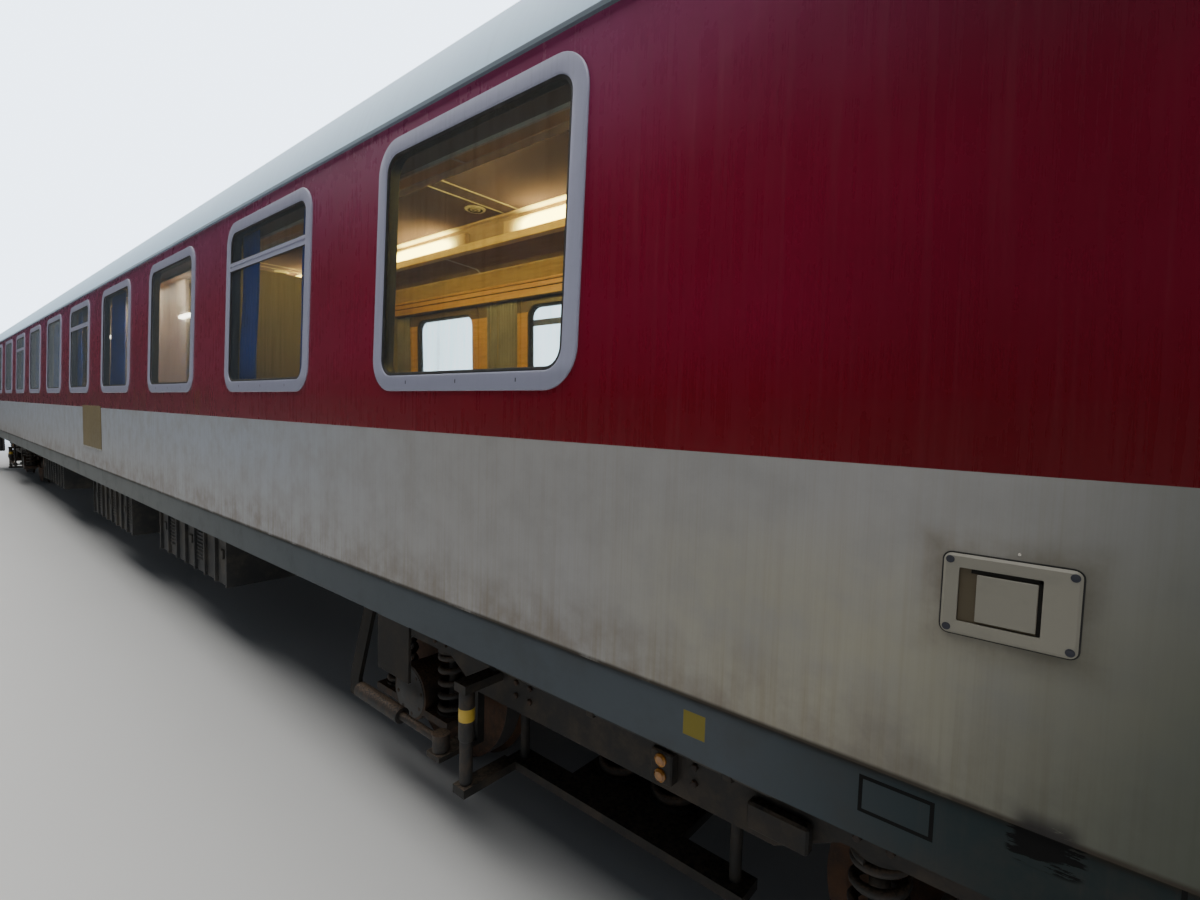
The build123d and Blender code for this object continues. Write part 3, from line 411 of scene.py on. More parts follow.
class CoachSizes(PropertyGroup):
    """Sizes of the trim, in metres unless a name says otherwise."""

    waist: length("Waist", "Height where the red paint ends", 1.93)
    pitch: length("Window pitch", "Distance between windows", 2.0)
    windows: IntProperty(name="Windows", description="Windows on a side", default=10, min=1)
    frame_width: length("Frame width", "Width over a window frame", 1.296)
    frame_height: length("Frame height", "Height over a window frame", 1.13)
    frame_band: length("Frame band", "Width of a frame's band", 0.072)
    frame_corner: length("Frame corner", "Outer corner radius", 0.15)
    frame_sill: length("Frame sill", "Height of a frame's lower edge", 2.102)
    hopper_drop: length("Hopper drop", "From the glass top down to a hopper bar", 0.224)
    hopper_bar: length("Hopper bar", "Height of a hopper bar", 0.052)
    coil_wire: length("Spring wire", "Thickness of an axle spring's wire", 0.032)


class CoachColours(PropertyGroup):
    """Colours of the paint and the cloth."""

    red: paint_colour("Red", "Paint above the waist", (0.165, 0.001, 0.007))
    cream: paint_colour("Cream", "Paint below the waist", (0.325, 0.318, 0.312))
    # The solebar's colour at the near end, where it stands for painted shade
    sole: paint_colour("Solebar", "Paint of the solebar", (0.015, 0.026, 0.028))
    roof: paint_colour("Roof", "Paint of the roof", (0.60, 0.81, 1.0))
    frame: paint_colour("Window frames", "Paint of the frames", (0.40, 0.41, 0.54))
    curtain: paint_colour("Near curtains", "Cloth on the near side", (0.004, 0.09, 0.72))
    drape: paint_colour("Far curtains", "Cloth on the far side", (0.30, 0.29, 0.31))
    wood: paint_colour("Wood", "Pelmets and pillars", (0.86, 0.47, 0.13))
    seat: paint_colour("Seats", "Cloth of the seats", (0.05, 0.07, 0.16))


class CoachLook(PropertyGroup):
    """How strong the light is, and where the camera stands."""

    eye: FloatVectorProperty(
        name="Eye", description="Place of the camera", subtype="TRANSLATION", default=(10.966, -2.834, 2.028)
    )
    yaw: FloatProperty(
        name="Yaw", description="Turn off the coach's length", subtype="ANGLE", default=radians(49.705)
    )
    pitch: FloatProperty(name="Pitch", description="Looking down", subtype="ANGLE", default=radians(3.553))
    roll: FloatProperty(name="Roll", description="Leaning over", subtype="ANGLE", default=radians(1.636))
    lens: FloatProperty(name="Lens", description="Focal length in millimetres", default=17.63, min=1)
    lamp: FloatProperty(name="Ceiling lights", description="Strength of their glow", default=52.0, min=0)
    overhead: FloatProperty(
        name="Overhead", description="Power of the big light above", default=7000.0, min=0, unit="POWER"
    )
    sky: FloatProperty(name="Sky", description="Brightness of the surroundings as seen", default=5.0, min=0)
    fill: FloatProperty(name="Fill", description="Light that the surroundings shed", default=0.11, min=0)


def sizes():
    return bpy.context.scene.coach_sizes


def shade(colour, share):
    return tuple(c * share for c in colour)


def colour_of(name, share=1.0):
    """One of the panel's colours, darker or lighter by a share."""
    return shade(getattr(bpy.context.scene.coach_colours, name), share)


# Finishes
def blotches(m, x, z):
    """Slanting blotches, as where paint was rubbed."""
    return m.grain(x * 9.0 - z * 14.0, 0.0, z * 60.0, 5)


def close_to(value, middle, sharpness, start):
    """1 close to a middle, falling to 0 at one over the sharpness away from it."""
    return 1.0 - (abs(value - middle) * sharpness).band(start, 1.0)


def body_paint():
    """Red over cream, glossy, streaked by rain and dulled by brake dust toward the bottom, with a painted sky
    reflection toward the top and the rear and painted shade toward the near end.
    """
    m = Finish("body_paint", IOR=1.45, Specular_IOR_Level=0.4)
    x, y, z = m.place()
    span = x + y * 0.7
    rain = m.grain(span * 42, 0.0, z * 0.9)
    fine = m.grain(span * 190, 0.0, z * 1.6, 3, 0.6)
    rust = m.grain(span * 9.0, 0.0, z * 0.7, 4, 0.6)
    cloud = m.noise(0.9, 4)
    mottle = m.noise(5.0, 5, 0.65)
    near = y < 0.0
    near_wall = (-1.18 - y).band(0.0, 0.12)
    upper = ((z - sizes().waist) * WAIST_EDGE).band(0.0, 1.0)
    low = (1.50 - z).band(0.0, 0.28)
    streak = rain.band(0.42, 0.75) * (1.0 - (z - 3.10).band(0.0, 0.08) * 0.85)

    # Red, darker toward the near end, where the photograph's light falls off
    rubbed = fine.band(0.52, 0.78) * (x - 5.5).band(-3.0, 2.0) * 0.12
    dim = (x - 10.0).band(0.0, 1.0) * (0.42 + (z - 2.5).band(0.0, 0.6) * 0.33)
    under_window = (2.16 - z).band(0.0, 0.06) * (x < 6.0)
    above = m.layers(
        colour_of("red"),
        # Lighter upward and purple toward the top: painted sky reflection
        ((0.225, 0.003, 0.030), (z - 1.95).band(0.0, 0.45)),
        ((0.25, 0.040, 0.120), (z - 2.6).band(0.0, 0.75)),
        (colour_of("red", 0.7), cloud.band(0.35, 0.7) * 0.35),
        ((0.19, 0.022, 0.040), streak * 0.14 + rubbed),
        # Paler and pinker toward the rear: painted sky reflection
        ((0.22, 0.10, 0.13), (9.6 - x).band(0.0, 3.6) * 0.20),
        ((0.045, 0.002, 0.002), dim * near_wall),
        ((0.16, 0.045, 0.022), under_window * rust.band(0.46, 0.72) * 0.7),
    )

    # Cream, with grime round the latch, a painted sky reflection toward the rear, and painted shade toward
    # the near end's foot
    # Bluer and paler toward the rear and higher up: painted sky reflection
    rear_sky_reflection = (9.4 - x).band(0.0, 3.0) * (0.4 + (z - 1.3).band(0.0, 0.5) * 0.5)
    warm = (x - 9.6).band(0.0, 0.8) * (1.90 - z).band(0.0, 0.40) * 0.8
    beside = (abs(x - LATCH_X) - 0.113).highest(abs(z - 1.670) - 0.083).highest(0.0)
    halo = (1.0 - beside.band(0.0, 0.075)) * near * mottle.band(0.25, 0.7)
    # Darker toward the near end's foot: painted shade where the light falls off
    near_end_shade = (x + (1.52 - z) * 0.45 - 10.48).band(0.0, 0.84) * (1.0 - (x - 11.6).band(0.0, 0.9) * 0.5)
    below = m.layers(
        colour_of("cream"),
        ((0.335, 0.370, 0.430), rear_sky_reflection),
        ((0.335, 0.315, 0.235), warm),
        ((0.27, 0.265, 0.255), mottle.band(0.35, 0.75) * 0.7),
        ((0.22, 0.175, 0.11), streak * (low * 0.40 + 0.14) + fine.band(0.45, 0.8) * 0.14),
        ((0.15, 0.11, 0.07), low * mottle.band(0.3, 0.8) * 0.65),
        ((0.13, 0.095, 0.050), halo * 0.6),
        ((0.062, 0.071, 0.054), near_end_shade * near_wall * 0.95),
    )

    foot = (WALL_LOW.z + 0.016 - z).band(0.0, 0.012)
    scuff = close_to(x, SCUFF_X, 15.0, 0.4) * (1.0 - (z - 1.25).band(-0.02, 0.03))
    depth = HALF_WIDTH - abs(y) - (z - WALL_BREAK).highest(0.0) * tan(WALL_LEAN)
    inside = (depth > 0.05) * (abs(x) < 12.98)
    colour = m.layers(
        m.mix(below, above, upper),
        ((0.030, 0.022, 0.012), foot * mottle.band(0.2, 0.5)),
        ((0.012, 0.010, 0.009), scuff * blotches(m, x, z).band(0.38, 0.46) * near),
        ((0.30, 0.20, 0.09), inside),
    )
    m.set("Base Color", colour)
    m.set("Roughness", 0.20 + mottle * 0.14 + streak * 0.1 + (1.0 - upper) * 0.22)
    m.set("Coat Weight", upper * (1.0 - inside) * 0.15)
    sheet = m.noise(1.7, 2, 0.4) * 0.7 + m.noise(0.45, 1) * 2.0
    m.bump(sheet + mottle * 0.03, 0.006, 0.8)


def door_paint():
    """The doors' red, over cream below the waist, as on the body."""
    m = Finish("door_paint", IOR=1.5)
    x, z = m.place("xz")
    mottle = m.noise(6.0, 5, 0.65)
    run = m.grain(x * 60, 0.0, z * 1.5)
    upper = ((z - sizes().waist) * WAIST_EDGE).band(0.0, 1.0)
    above = m.mix(colour_of("red"), colour_of("red", 0.5), mottle.band(0.4, 0.8) * 0.5)
    grime = run.band(0.4, 0.8) * 0.4 + mottle.band(0.4, 0.8) * 0.3
    below = m.mix(colour_of("cream"), (0.20, 0.155, 0.10), grime)
    m.set("Base Color", m.mix(below, above, upper))
    m.set("Roughness", mottle * 0.2 + 0.28)
    m.bump(mottle, 0.001, 0.6)


def roof_paint():
    """Pale paint that rain has streaked down to the gutters."""
    m = Finish("roof_paint", Sheen_Weight=0.8, Sheen_Roughness=0.5, Sheen_Tint=(0.62, 0.82, 1.0))
    x, y, z = m.place()
    run = m.grain(x * 26, y * 0.8, z * 0.8, 5, 0.7, 0.3)
    cloud = m.noise(1.1, 5, 0.6)
    edge = (WALL_HIGH.z + 0.024 - z).band(0.0, 0.010)
    colour = m.layers(
        colour_of("roof"),
        (colour_of("roof", 0.78), run.band(0.44, 0.76) * 0.4),
        ((0.40, 0.45, 0.52), cloud.band(0.56, 0.86) * 0.2),
        ((0.025, 0.025, 0.030), edge * 0.92),
    )
    m.set("Base Color", colour)
    m.set("Roughness", 0.48 + cloud * 0.25)
    m.bump(m.noise(1.3, 2) + run * 0.03, 0.006, 0.8)


def sole_paint():
    """Grey-blue on the solebars' outer faces, paler toward the rear as a painted sky reflection and dark at
    the near end as painted shade, and black grime on everything inboard of them.
    """
    m = Finish("sole_paint", Specular_IOR_Level=0.2)
    x, y, z = m.place()
    near = y < 0.0
    outer = ((abs(y) - 1.38) * 500.0).band(0.0, 1.0) * ((z - SOLE_LOW + 0.002) > 0.0)
    grime = m.noise(3.0, 6, 0.7)
    run = m.grain(x * 30, 0.0, z * 1.5)
    grey_blue_and_sheen = m.layers(
        (0.074, 0.087, 0.099),
        # Paler toward the rear: painted sky reflection
        ((0.150, 0.160, 0.158), (9.5 - x).band(0.0, 6.5)),
        ((0.060, 0.060, 0.055), grime.band(0.45, 0.8) * 0.4),
    )
    top = (z - WALL_LOW.z + 0.02).band(0.0, 0.02)
    across, up = abs(x - RECTANGLE_X), abs(z - RECTANGLE_Z)
    rectangle = (across < 0.0790) * (up < 0.0450) - (across < 0.0700) * (up < 0.0360)
    square = (abs(x - SQUARE_X) < 0.036) * (abs(z - SQUARE_Z) < 0.036)
    seam = (abs(x - SEAM_X) < 0.004) + (abs(x + SEAM_X) < 0.004)
    blotch = blotches(m, x, z)
    core = close_to(x, SCUFF_X - 0.010, 17.0, 0.3) * close_to(z, SCUFF_Z + 0.007, 20.0, 0.3)
    trail = close_to(x, SCUFF_X, 12.0, 0.4) * close_to(z, SCUFF_Z, 15.0, 0.4)
    scuff = (core * (0.5 + blotch) + trail * blotch.band(0.46, 0.52)).band(0.2, 0.55)
    colour = m.layers(
        colour_of("sole"),
        ((0.05, 0.043, 0.035), grime.band(0.42, 0.8) * 0.6 + run.band(0.5, 0.8) * 0.3),
        # Grey-blue only short of the near end, which stays dark: painted shade where the light falls off
        (grey_blue_and_sheen, (10.95 - x).band(0.0, 0.85)),
        ((0.026, 0.021, 0.014), top * grime.band(0.2, 0.6)),
        ((0.003, 0.003, 0.003), rectangle * near),
        ((0.008, 0.008, 0.008), seam),
        ((0.003, 0.003, 0.003), scuff * near),
        ((0.20, 0.165, 0.034), square * near),
    )
    dark = m.mix((0.018, 0.017, 0.016), (0.06, 0.045, 0.032), grime.band(0.4, 0.8))
    m.set("Base Color", m.mix(dark, colour, outer))
    m.set("Roughness", 0.62 + grime * 0.3)
    m.bump(grime + m.noise(40, 3) * 0.2, 0.0015, 0.8)


def frame_paint():
    """Satin grey-blue paint on the window frames, with rain marks below the glass."""
    m = Finish("frame_paint", Metallic=0.15)
    x, z = m.place("xz")
    run = m.grain(x * 60, 0.0, z * 2.0)
    mottle = m.noise(14.0, 4)
    colour = m.layers(
        colour_of("frame"),
        (colour_of("frame", 0.72), run.band(0.45, 0.8) * 0.5 + mottle.band(0.5, 0.8) * 0.2),
        (colour_of("frame", 0.68), (2.20 - z).band(0.0, 0.05) * 0.7),
    )
    m.set("Base Color", colour)
    m.set("Roughness", 0.34 + mottle * 0.2)
    m.bump(mottle, 0.0006, 0.5)


def window_glass():
    """Tinted double glazing with a film of dust."""
    m = Finish("window_glass", Roughness=0.02, IOR=1.5, Transmission_Weight=0.975)
    x, y, z = m.place()
    run = m.grain((x + y) * 34, 0.0, z * 1.2)
    m.set("Base Color", m.mix((0.80, 0.86, 0.84), (0.62, 0.66, 0.62), run.band(0.4, 0.8)))


def door_glass():
    """Darker glass, dusty all over."""
    m = Finish("door_glass", Roughness=0.04, IOR=1.5, Transmission_Weight=1.0)
    m.set("Base Color", m.mix((0.45, 0.50, 0.50), (0.30, 0.32, 0.30), m.noise(6.0, 4)))


def rubber():
    """Black rubber, greyer where it is worn."""
    m = Finish("rubber")
    wear = m.noise(22.0, 4)
    m.set("Base Color", m.mix((0.012, 0.012, 0.012), (0.05, 0.048, 0.044), wear.band(0.45, 0.75)))
    m.set("Roughness", 0.58 + wear * 0.3)
    m.bump(wear, 0.0012, 0.6)


def iron(name, clean, dust, rough=0.6, scale=7.0):
    """Metal under black grime, with dust on what faces up, paler there also as a painted highlight from
    above.
    """
    m = Finish(name)
    [up] = m.normal("z")
    grime = m.noise(scale, 6, 0.7)
    speck = m.noise(scale * 9, 4)
    colour = m.layers(
        clean,
        (dust, grime.band(0.38, 0.75) * 0.8),
        # Paler on upward faces: settled dust, and a painted highlight from above
        (shade(dust, 1.6), up.band(0.3, 0.95) * speck.band(0.3, 0.7)),
    )
    m.set("Base Color", colour)
    m.set("Roughness", grime * 0.3 + rough)
    m.bump(grime + speck * 0.3, 0.0015, 0.8)


def wheel_steel():
    """Rusty wheel faces, and treads and brake discs worn bright."""
    m = Finish("wheel_steel")
    [across] = m.place("y")
    [sideways] = m.normal("y")
    rust = m.noise(9.0, 6, 0.7)
    speck = m.noise(70.0, 3)
    reach = abs(across)
    tread = abs(sideways).band(0.55, 0.25) * (reach > 0.67) * (reach < 0.83)
    disc = (reach > 0.28) * (reach < 0.42)
    bright = tread + disc * 0.75
    colour = m.layers(
        (0.09, 0.04, 0.018),
        ((0.03, 0.018, 0.012), rust.band(0.35, 0.7)),
        ((0.14, 0.075, 0.035), speck.band(0.55, 0.75) * 0.6),
        ((0.42, 0.40, 0.38), bright),
    )
    m.set("Base Color", colour)
    m.set("Metallic", bright * 0.9)
    m.set("Roughness", 0.82 - bright * 0.5)
    m.bump(rust + speck * 0.3, 0.0012, 0.7)


def cloth(name, key, share, weave=900.0):
    """A plain weave with a soft sheen, in one of the panel's colours and a share of it."""
    m = Finish(name, Sheen_Weight=0.35, Sheen_Roughness=0.5)
    x, z = m.place("xz")
    across = (x * weave).wave() * 0.5 + 0.5
    up = (z * weave).wave() * 0.5 + 0.5
    cloud = m.noise(4.0, 4)
    blend = cloud.band(0.35, 0.75) * 0.7 + across * up * 0.3
    m.set("Base Color", m.mix(colour_of(key), colour_of(key, share), blend))
    m.set("Roughness", cloud * 0.1 + 0.82)
    m.bump(across + up + cloud * 0.4, 0.0006, 0.5)


def wood(name, colour, gloss=0.3, painted_shade_heights=None):
    """Lacquered veneer with its grain along the coach, brown-grey as painted shade between two heights if
    given.
    """
    m = Finish(name)
    x, y, z = m.place()
    grain = m.grain(x * 2.0, y * 30, z * 40, 6, 0.65, 1.2)
    fine = m.grain(x * 9.0, y * 160, z * 220, 3, 0.6)
    veneer = m.mix(colour, shade(colour, 0.62), grain.band(0.4, 0.7) * 0.7 + fine.band(0.45, 0.8) * 0.3)
    if painted_shade_heights:
        # Brown-grey between the heights: painted shade under the pelmets
        veneer = m.mix(veneer, (0.15, 0.105, 0.09), (z > painted_shade_heights[0]) * (z < painted_shade_heights[1]))
    m.set("Base Color", veneer)
    m.set("Roughness", gloss + fine * 0.15)
    m.bump(grain + fine * 0.5, 0.0005, 0.4)


def lining(name, colour, rough=0.5, grain=30.0):
    """Moulded lining board, a little uneven and a little worn."""
    m = Finish(name)
    cloud = m.noise(1.8, 4)
    speck = m.noise(grain, 4)
    worn = cloud.band(0.35, 0.75) * 0.6 + speck.band(0.5, 0.8) * 0.25
    m.set("Base Color", m.mix(colour, shade(colour, 0.78), worn))
    m.set("Roughness", rough + speck * 0.2)
    m.bump(speck, 0.0006, 0.5)


def wall_board():
    """Cream board on the corridor's wall, and browner board on the walls across the coach."""
    m = Finish("wall_board")
    [along] = m.normal("x")
    cloud = m.noise(1.8, 4)
    speck = m.noise(30.0, 4)
    colour = m.layers(
        (0.66, 0.60, 0.53),
        ((0.30, 0.25, 0.19), abs(along) > 0.5),
        ((0.26, 0.22, 0.17), cloud.band(0.35, 0.75) * 0.3 + speck.band(0.5, 0.8) * 0.1),
    )
    m.set("Base Color", colour)
    m.set("Roughness", 0.42 + speck * 0.2)
    m.bump(speck, 0.0006, 0.5)


def ceiling_board():
    """Lining board between the lights, in painted shade toward the near end and the near side, and veneer
    outside them, with the near flank painted pale as painted light.
    """
    m = Finish("ceiling_board", Specular_IOR_Level=0.0)
    x, y, z = m.place()
    cloud = m.noise(1.8, 4)
    speck = m.noise(40.0, 4)
    grain = m.grain(x * 2.0, y * 26, z * 30, 5, 0.65, 1.0)
    pale = m.mix((0.170, 0.122, 0.185), (0.130, 0.092, 0.140), cloud.band(0.35, 0.75))
    brown = m.mix((0.34, 0.245, 0.185), (0.27, 0.19, 0.14), grain.band(0.4, 0.7))
    colour = m.layers(
        (0.082, 0.063, 0.100),
        # Darker toward the near side: painted shade
        (pale, (y + 0.30).band(-0.1, 0.7)),
        # Darker toward the near end: painted shade
        ((0.062, 0.045, 0.074), (x - 7.25).band(0.0, 0.6) * 0.92),
        # The near flank painted pale: painted light from the lights across the coach
        ((0.62, 0.49, 0.37), (0.004 - COVE_Y - y) > 0.0),
        (brown, (y - (COVE_Y - 0.004)).band(0.0, 0.002)),
    )
    m.set("Base Color", colour)
    m.set("Roughness", 0.42 + speck * 0.18)
    m.bump(speck + grain * 0.3, 0.0006, 0.5)


def lamp_shine():
    """The ceiling lights' covers, which fade toward both ends of each."""
    power = bpy.context.scene.coach_look.lamp
    m = Finish("lamp_shine", Emission_Strength=power, Roughness=0.4, Base_Color=(0.42, 0.30, 0.16))
    x, z = m.place("xz")
    shift = (x > 4.2) * 0.65 - (x > 8.5) * 0.30
    along = (x - shift + 20.0) % 2.0
    ends = (0.725 - abs(along - 1.0)).band(-0.05, 0.42)
    rise = 1.0 - (z - LIGHT_LOW.z).band(0.08, 0.24)
    rim = ((z - LIGHT_HIGH.z) > 0.02) * 0.56
    glow = (ends * rise.highest(rim)) ** 3.0
    m.set("Emission Color", m.mix((0.002, 0.001, 0.0003), (1.0, 0.76, 0.17), glow))


def lens(name, colour):
    """A ribbed lamp lens."""
    m = Finish(name, Roughness=0.12, IOR=1.5, Coat_Weight=0.6)
    ribs = m.cells(60.0)
    m.set("Base Color", m.mix(colour, shade(colour, 0.4), ribs))
    m.bump(ribs, 0.001, 0.6)


def steel_trim():
    """Bare metal fittings, dull and scratched."""
    m = Finish("steel_trim", Metallic=0.85)
    x, y, z = m.place()
    brush = m.grain(x * 14, y * 14, z * 190, 4, 0.55)
    stain = m.noise(26.0, 4)
    m.set("Base Color", m.mix((0.42, 0.41, 0.39), (0.24, 0.21, 0.17), stain.band(0.45, 0.75)))
    m.set("Roughness", 0.34 + brush * 0.2 + stain * 0.15)
    m.bump(brush + stain * 0.5, 0.0004, 0.5)


def pale_floor():
    """Pale floor that fades into the backdrop far from the coach."""
    m = Finish("studio_floor")
    x, y = m.place("xy")
    cloud = m.noise(0.4, 3)
    m.set("Alpha", 1.0 - ((x * x * 0.36 + y * y) ** 0.5).band(8.0, 30.0))
    m.set("Base Color", m.mix((0.62, 0.62, 0.61), (0.58, 0.58, 0.57), cloud))
    m.set("Roughness", 0.85 + cloud * 0.05)


def make_finishes():
    body_paint()
    door_paint()
    roof_paint()
    sole_paint()
    frame_paint()
    window_glass()
    door_glass()
    rubber()
    wheel_steel()
    steel_trim()
    ceiling_board()
    wall_board()
    lamp_shine()
    pale_floor()
    iron("bogie_iron", (0.016, 0.015, 0.014), (0.075, 0.055, 0.038), 0.6)
    iron("brake_iron", (0.03, 0.022, 0.018), (0.12, 0.065, 0.035), 0.65, 11.0)
    iron("box_paint", (0.022, 0.024, 0.026), (0.09, 0.078, 0.062), 0.6, 4.0)
    iron("greasy_iron", (0.03, 0.03, 0.03), (0.08, 0.06, 0.045), 0.4, 10.0)
    iron("tank_paint", (0.03, 0.032, 0.034), (0.09, 0.075, 0.06), 0.5, 5.0)
    iron("spring_steel", (0.02, 0.02, 0.02), (0.10, 0.065, 0.04), 0.5, 12.0)
    cloth("near_cloth", "curtain", 0.5)
    cloth("far_cloth", "drape", 0.6)
    cloth("seat_cloth", "seat", 2.2, 600.0)
    # Painted shade under the pelmets, between these heights
    wood("pelmet_wood", colour_of("wood"), painted_shade_heights=(3.035, PELMET_LOW.z + 0.004))
    wood("table_wood", (0.30, 0.12, 0.04), 0.22)
    wood("light_wood", (0.80, 0.58, 0.26), 0.35)
    lining("joint_trim", (0.66, 0.61, 0.54), 0.4)
    # Near black with a blue cast; the cast is a painted reflection
    lining("dark_trim", (0.022, 0.024, 0.036), 0.4)
    lining("floor_sheet", (0.10, 0.08, 0.07), 0.5, 60.0)
    lining("seat_shell", (0.10, 0.09, 0.085), 0.45)
    lining("yellow_paint", (0.62, 0.42, 0.05), 0.4)
    lining("grimy_yellow", (0.165, 0.125, 0.048), 0.5)
    lining("latch_paint", (0.235, 0.222, 0.180), 0.38)
    # The latch recesses' olive-brown: painted shade
    lining("rusty_paint", (0.085, 0.066, 0.036), 0.6)
    # Black for gaps, grooves and slots: painted shade
    lining("soot", (0.008, 0.007, 0.005), 0.8)
    lens("red_lens", (0.45, 0.01, 0.01))
    lens("amber_lens", (0.55, 0.22, 0.02))
    glow = bpy.context.scene.coach_look.lamp * 0.5
    Finish("corridor_shine", Emission_Color=(1.0, 0.90, 0.76), Emission_Strength=glow, Roughness=0.4)


# Helpers for the pieces
def window_places():
    """The windows' x places, from the front to the rear, and the frames' middle up the wall."""
    s = sizes()
    places = [((s.windows - 1) / 2 - i) * s.pitch for i in range(s.windows)]
    middle = (s.frame_sill - WALL_BREAK) / cos(WALL_LEAN) + s.frame_height / 2
    return places, middle


def wall_ring(form, side, x, rise, width, height, corner, profile):
    """A rounded ring on a side wall, from pairs of inset from its outline and way out of the wall."""
    rows = []
    for inset, out in profile:
        outline = rounded(width - 2 * inset, height - 2 * inset, max(corner - inset, 0.004))
        rows.append([on_wall(side, x + u, rise + v, out) for u, v in outline])
    return form.rows(rows)


def wall_block(form, side, along, up, out, edge=0.001):
    """A block on a side wall's leaning part, by its limits along, up and out of the wall."""
    part = Form().block((along[0], up[0], out[0]), (along[1], up[1], out[1]), edge)
    return form.add([on_wall(side, *point) for point in part.points], part.faces)


def flat_block(form, side, along, z, out, edge=0.001):
    """A block on a side wall's upright part, by its limits along, in height and out of the wall."""
    part = Form().block((along[0], z[0], out[0]), (along[1], z[1], out[1]), edge)
    return form.add([(x, side * (HALF_WIDTH + o), up) for x, up, o in part.points], part.faces)


def long_block(form, reach, y0, y1, z0, z1, edge=0.003):
    """A block along the coach that reaches as far to the front as to the rear."""
    return form.block((-reach, y0, z0), (reach, y1, z1), edge)


def nodes_named(*starts):
    """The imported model's nodes whose names start with any of these."""
    return [name for name in frame["nodes"] if name.startswith(starts)]


class COACH_OT_stage(Operator):
    """The floor, the soft lights and the camera"""

    bl_idname = "coach.stage"
    bl_label = "Stage"

    def execute(self, context):
        scene = context.scene
        ground = bpy.data.meshes.new("studio_floor")
        ground.from_pydata([(-90, -90, 0), (90, -90, 0), (90, 90, 0), (-90, 90, 0)], [], [(0, 1, 2, 3)])
        ground.materials.append(Finish.made["studio_floor"])
        floor = bpy.data.objects.new("studio_floor", ground)
        scene.collection.objects.link(floor)

        look = scene.coach_look
        scene.world = Sky("studio", (0.72, 0.84, 1.0), look.sky, look.fill).data
        lamps = (
            ("overhead", (0, 0, 14), 40, 16, look.overhead, (1.0, 0.985, 0.96)),
            ("front_end", (26, -3, 6), 10, 8, 140, (1.0, 0.97, 0.94)),
            ("rear_end", (-27, 0, 6), 10, 8, 140, (0.92, 0.95, 1.0)),
        )
        for name, place, length, width, power, colour in lamps:
            light = bpy.data.lights.new(name, "AREA")
            light.shape = "RECTANGLE"
            light.size = length
            light.size_y = width
            light.energy = power
            light.color = colour
            lamp = bpy.data.objects.new(name, light)
            lamp.location = place
            # Mirrored at a flat angle, the rear one would turn the far windows white
            lamp.visible_glossy = name != "rear_end"
            if place[0]:
                aim = Vector((0, 0, 1.5)) - lamp.location
                lamp.rotation_euler = aim.to_track_quat("-Z", "Y").to_euler()
            scene.collection.objects.link(lamp)

        yaw, pitch, roll = look.yaw, look.pitch, look.roll
        ahead = Vector((-cos(pitch) * cos(yaw), cos(pitch) * sin(yaw), -sin(pitch)))
        level = Vector((sin(yaw), cos(yaw), 0))
        above = level.cross(ahead)
        right = level * cos(roll) + above * sin(roll)
        up = above * cos(roll) - level * sin(roll)
        data = bpy.data.cameras.new("camera")
        data.sensor_width = 36
        data.lens = look.lens
        data.clip_start = 0.02
        data.clip_end = 300
        data.dof.use_dof = False
        camera = bpy.data.objects.new("camera", data)
        turn = Matrix((right, up, -ahead)).transposed().to_4x4()
        camera.matrix_world = Matrix.Translation(look.eye) @ turn
        scene.collection.objects.link(camera)
        scene.camera = camera
        return {"FINISHED"}


class COACH_OT_finishes(Operator):
    """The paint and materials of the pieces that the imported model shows"""

    bl_idname = "coach.finishes"
    bl_label = "Finishes"

    def execute(self, context):
        make_finishes()
        paint(nodes_named("side_wall", "end_wall"), "body_paint")
        paint([n for n in nodes_named("door_") if "leaf" in n], "door_paint")
        paint([n for n in nodes_named("door_", "gangway_pane") if "pane" in n], "door_glass")
        paint(["lamps", *nodes_named("gangway_door")], "frame_paint")
        paint(["roof"], "roof_paint")
        paint(["underframe"], "sole_paint")
        paint(["window_panes"], "window_glass")
        paint(["ceiling"], "ceiling_board")
        paint(["partitions"], "wall_board")
        paint(["floor"], "floor_sheet")
        paint(["tables"], "table_wood")
        paint(["pelmets"], "pelmet_wood")
        paint(["ceiling_lights"], "lamp_shine")
        paint(["latch_plates"], "steel_trim")
        paint(["buffers", "couplers"], "greasy_iron")
        paint(["steps", "equipment_boxes"], "box_paint")
        paint(["air_tanks"], "tank_paint")
        paint(["yaw_dampers"], "spring_steel")
        paint(nodes_named("wheelset"), "wheel_steel")
        for end, _ in ENDS:
            paint([f"bogie_{end}_frame", f"bogie_{end}_bolster"], "bogie_iron")
            paint([f"bogie_{end}_axle_boxes", f"bogie_{end}_brakes"], "brake_iron")
        return {"FINISHED"}


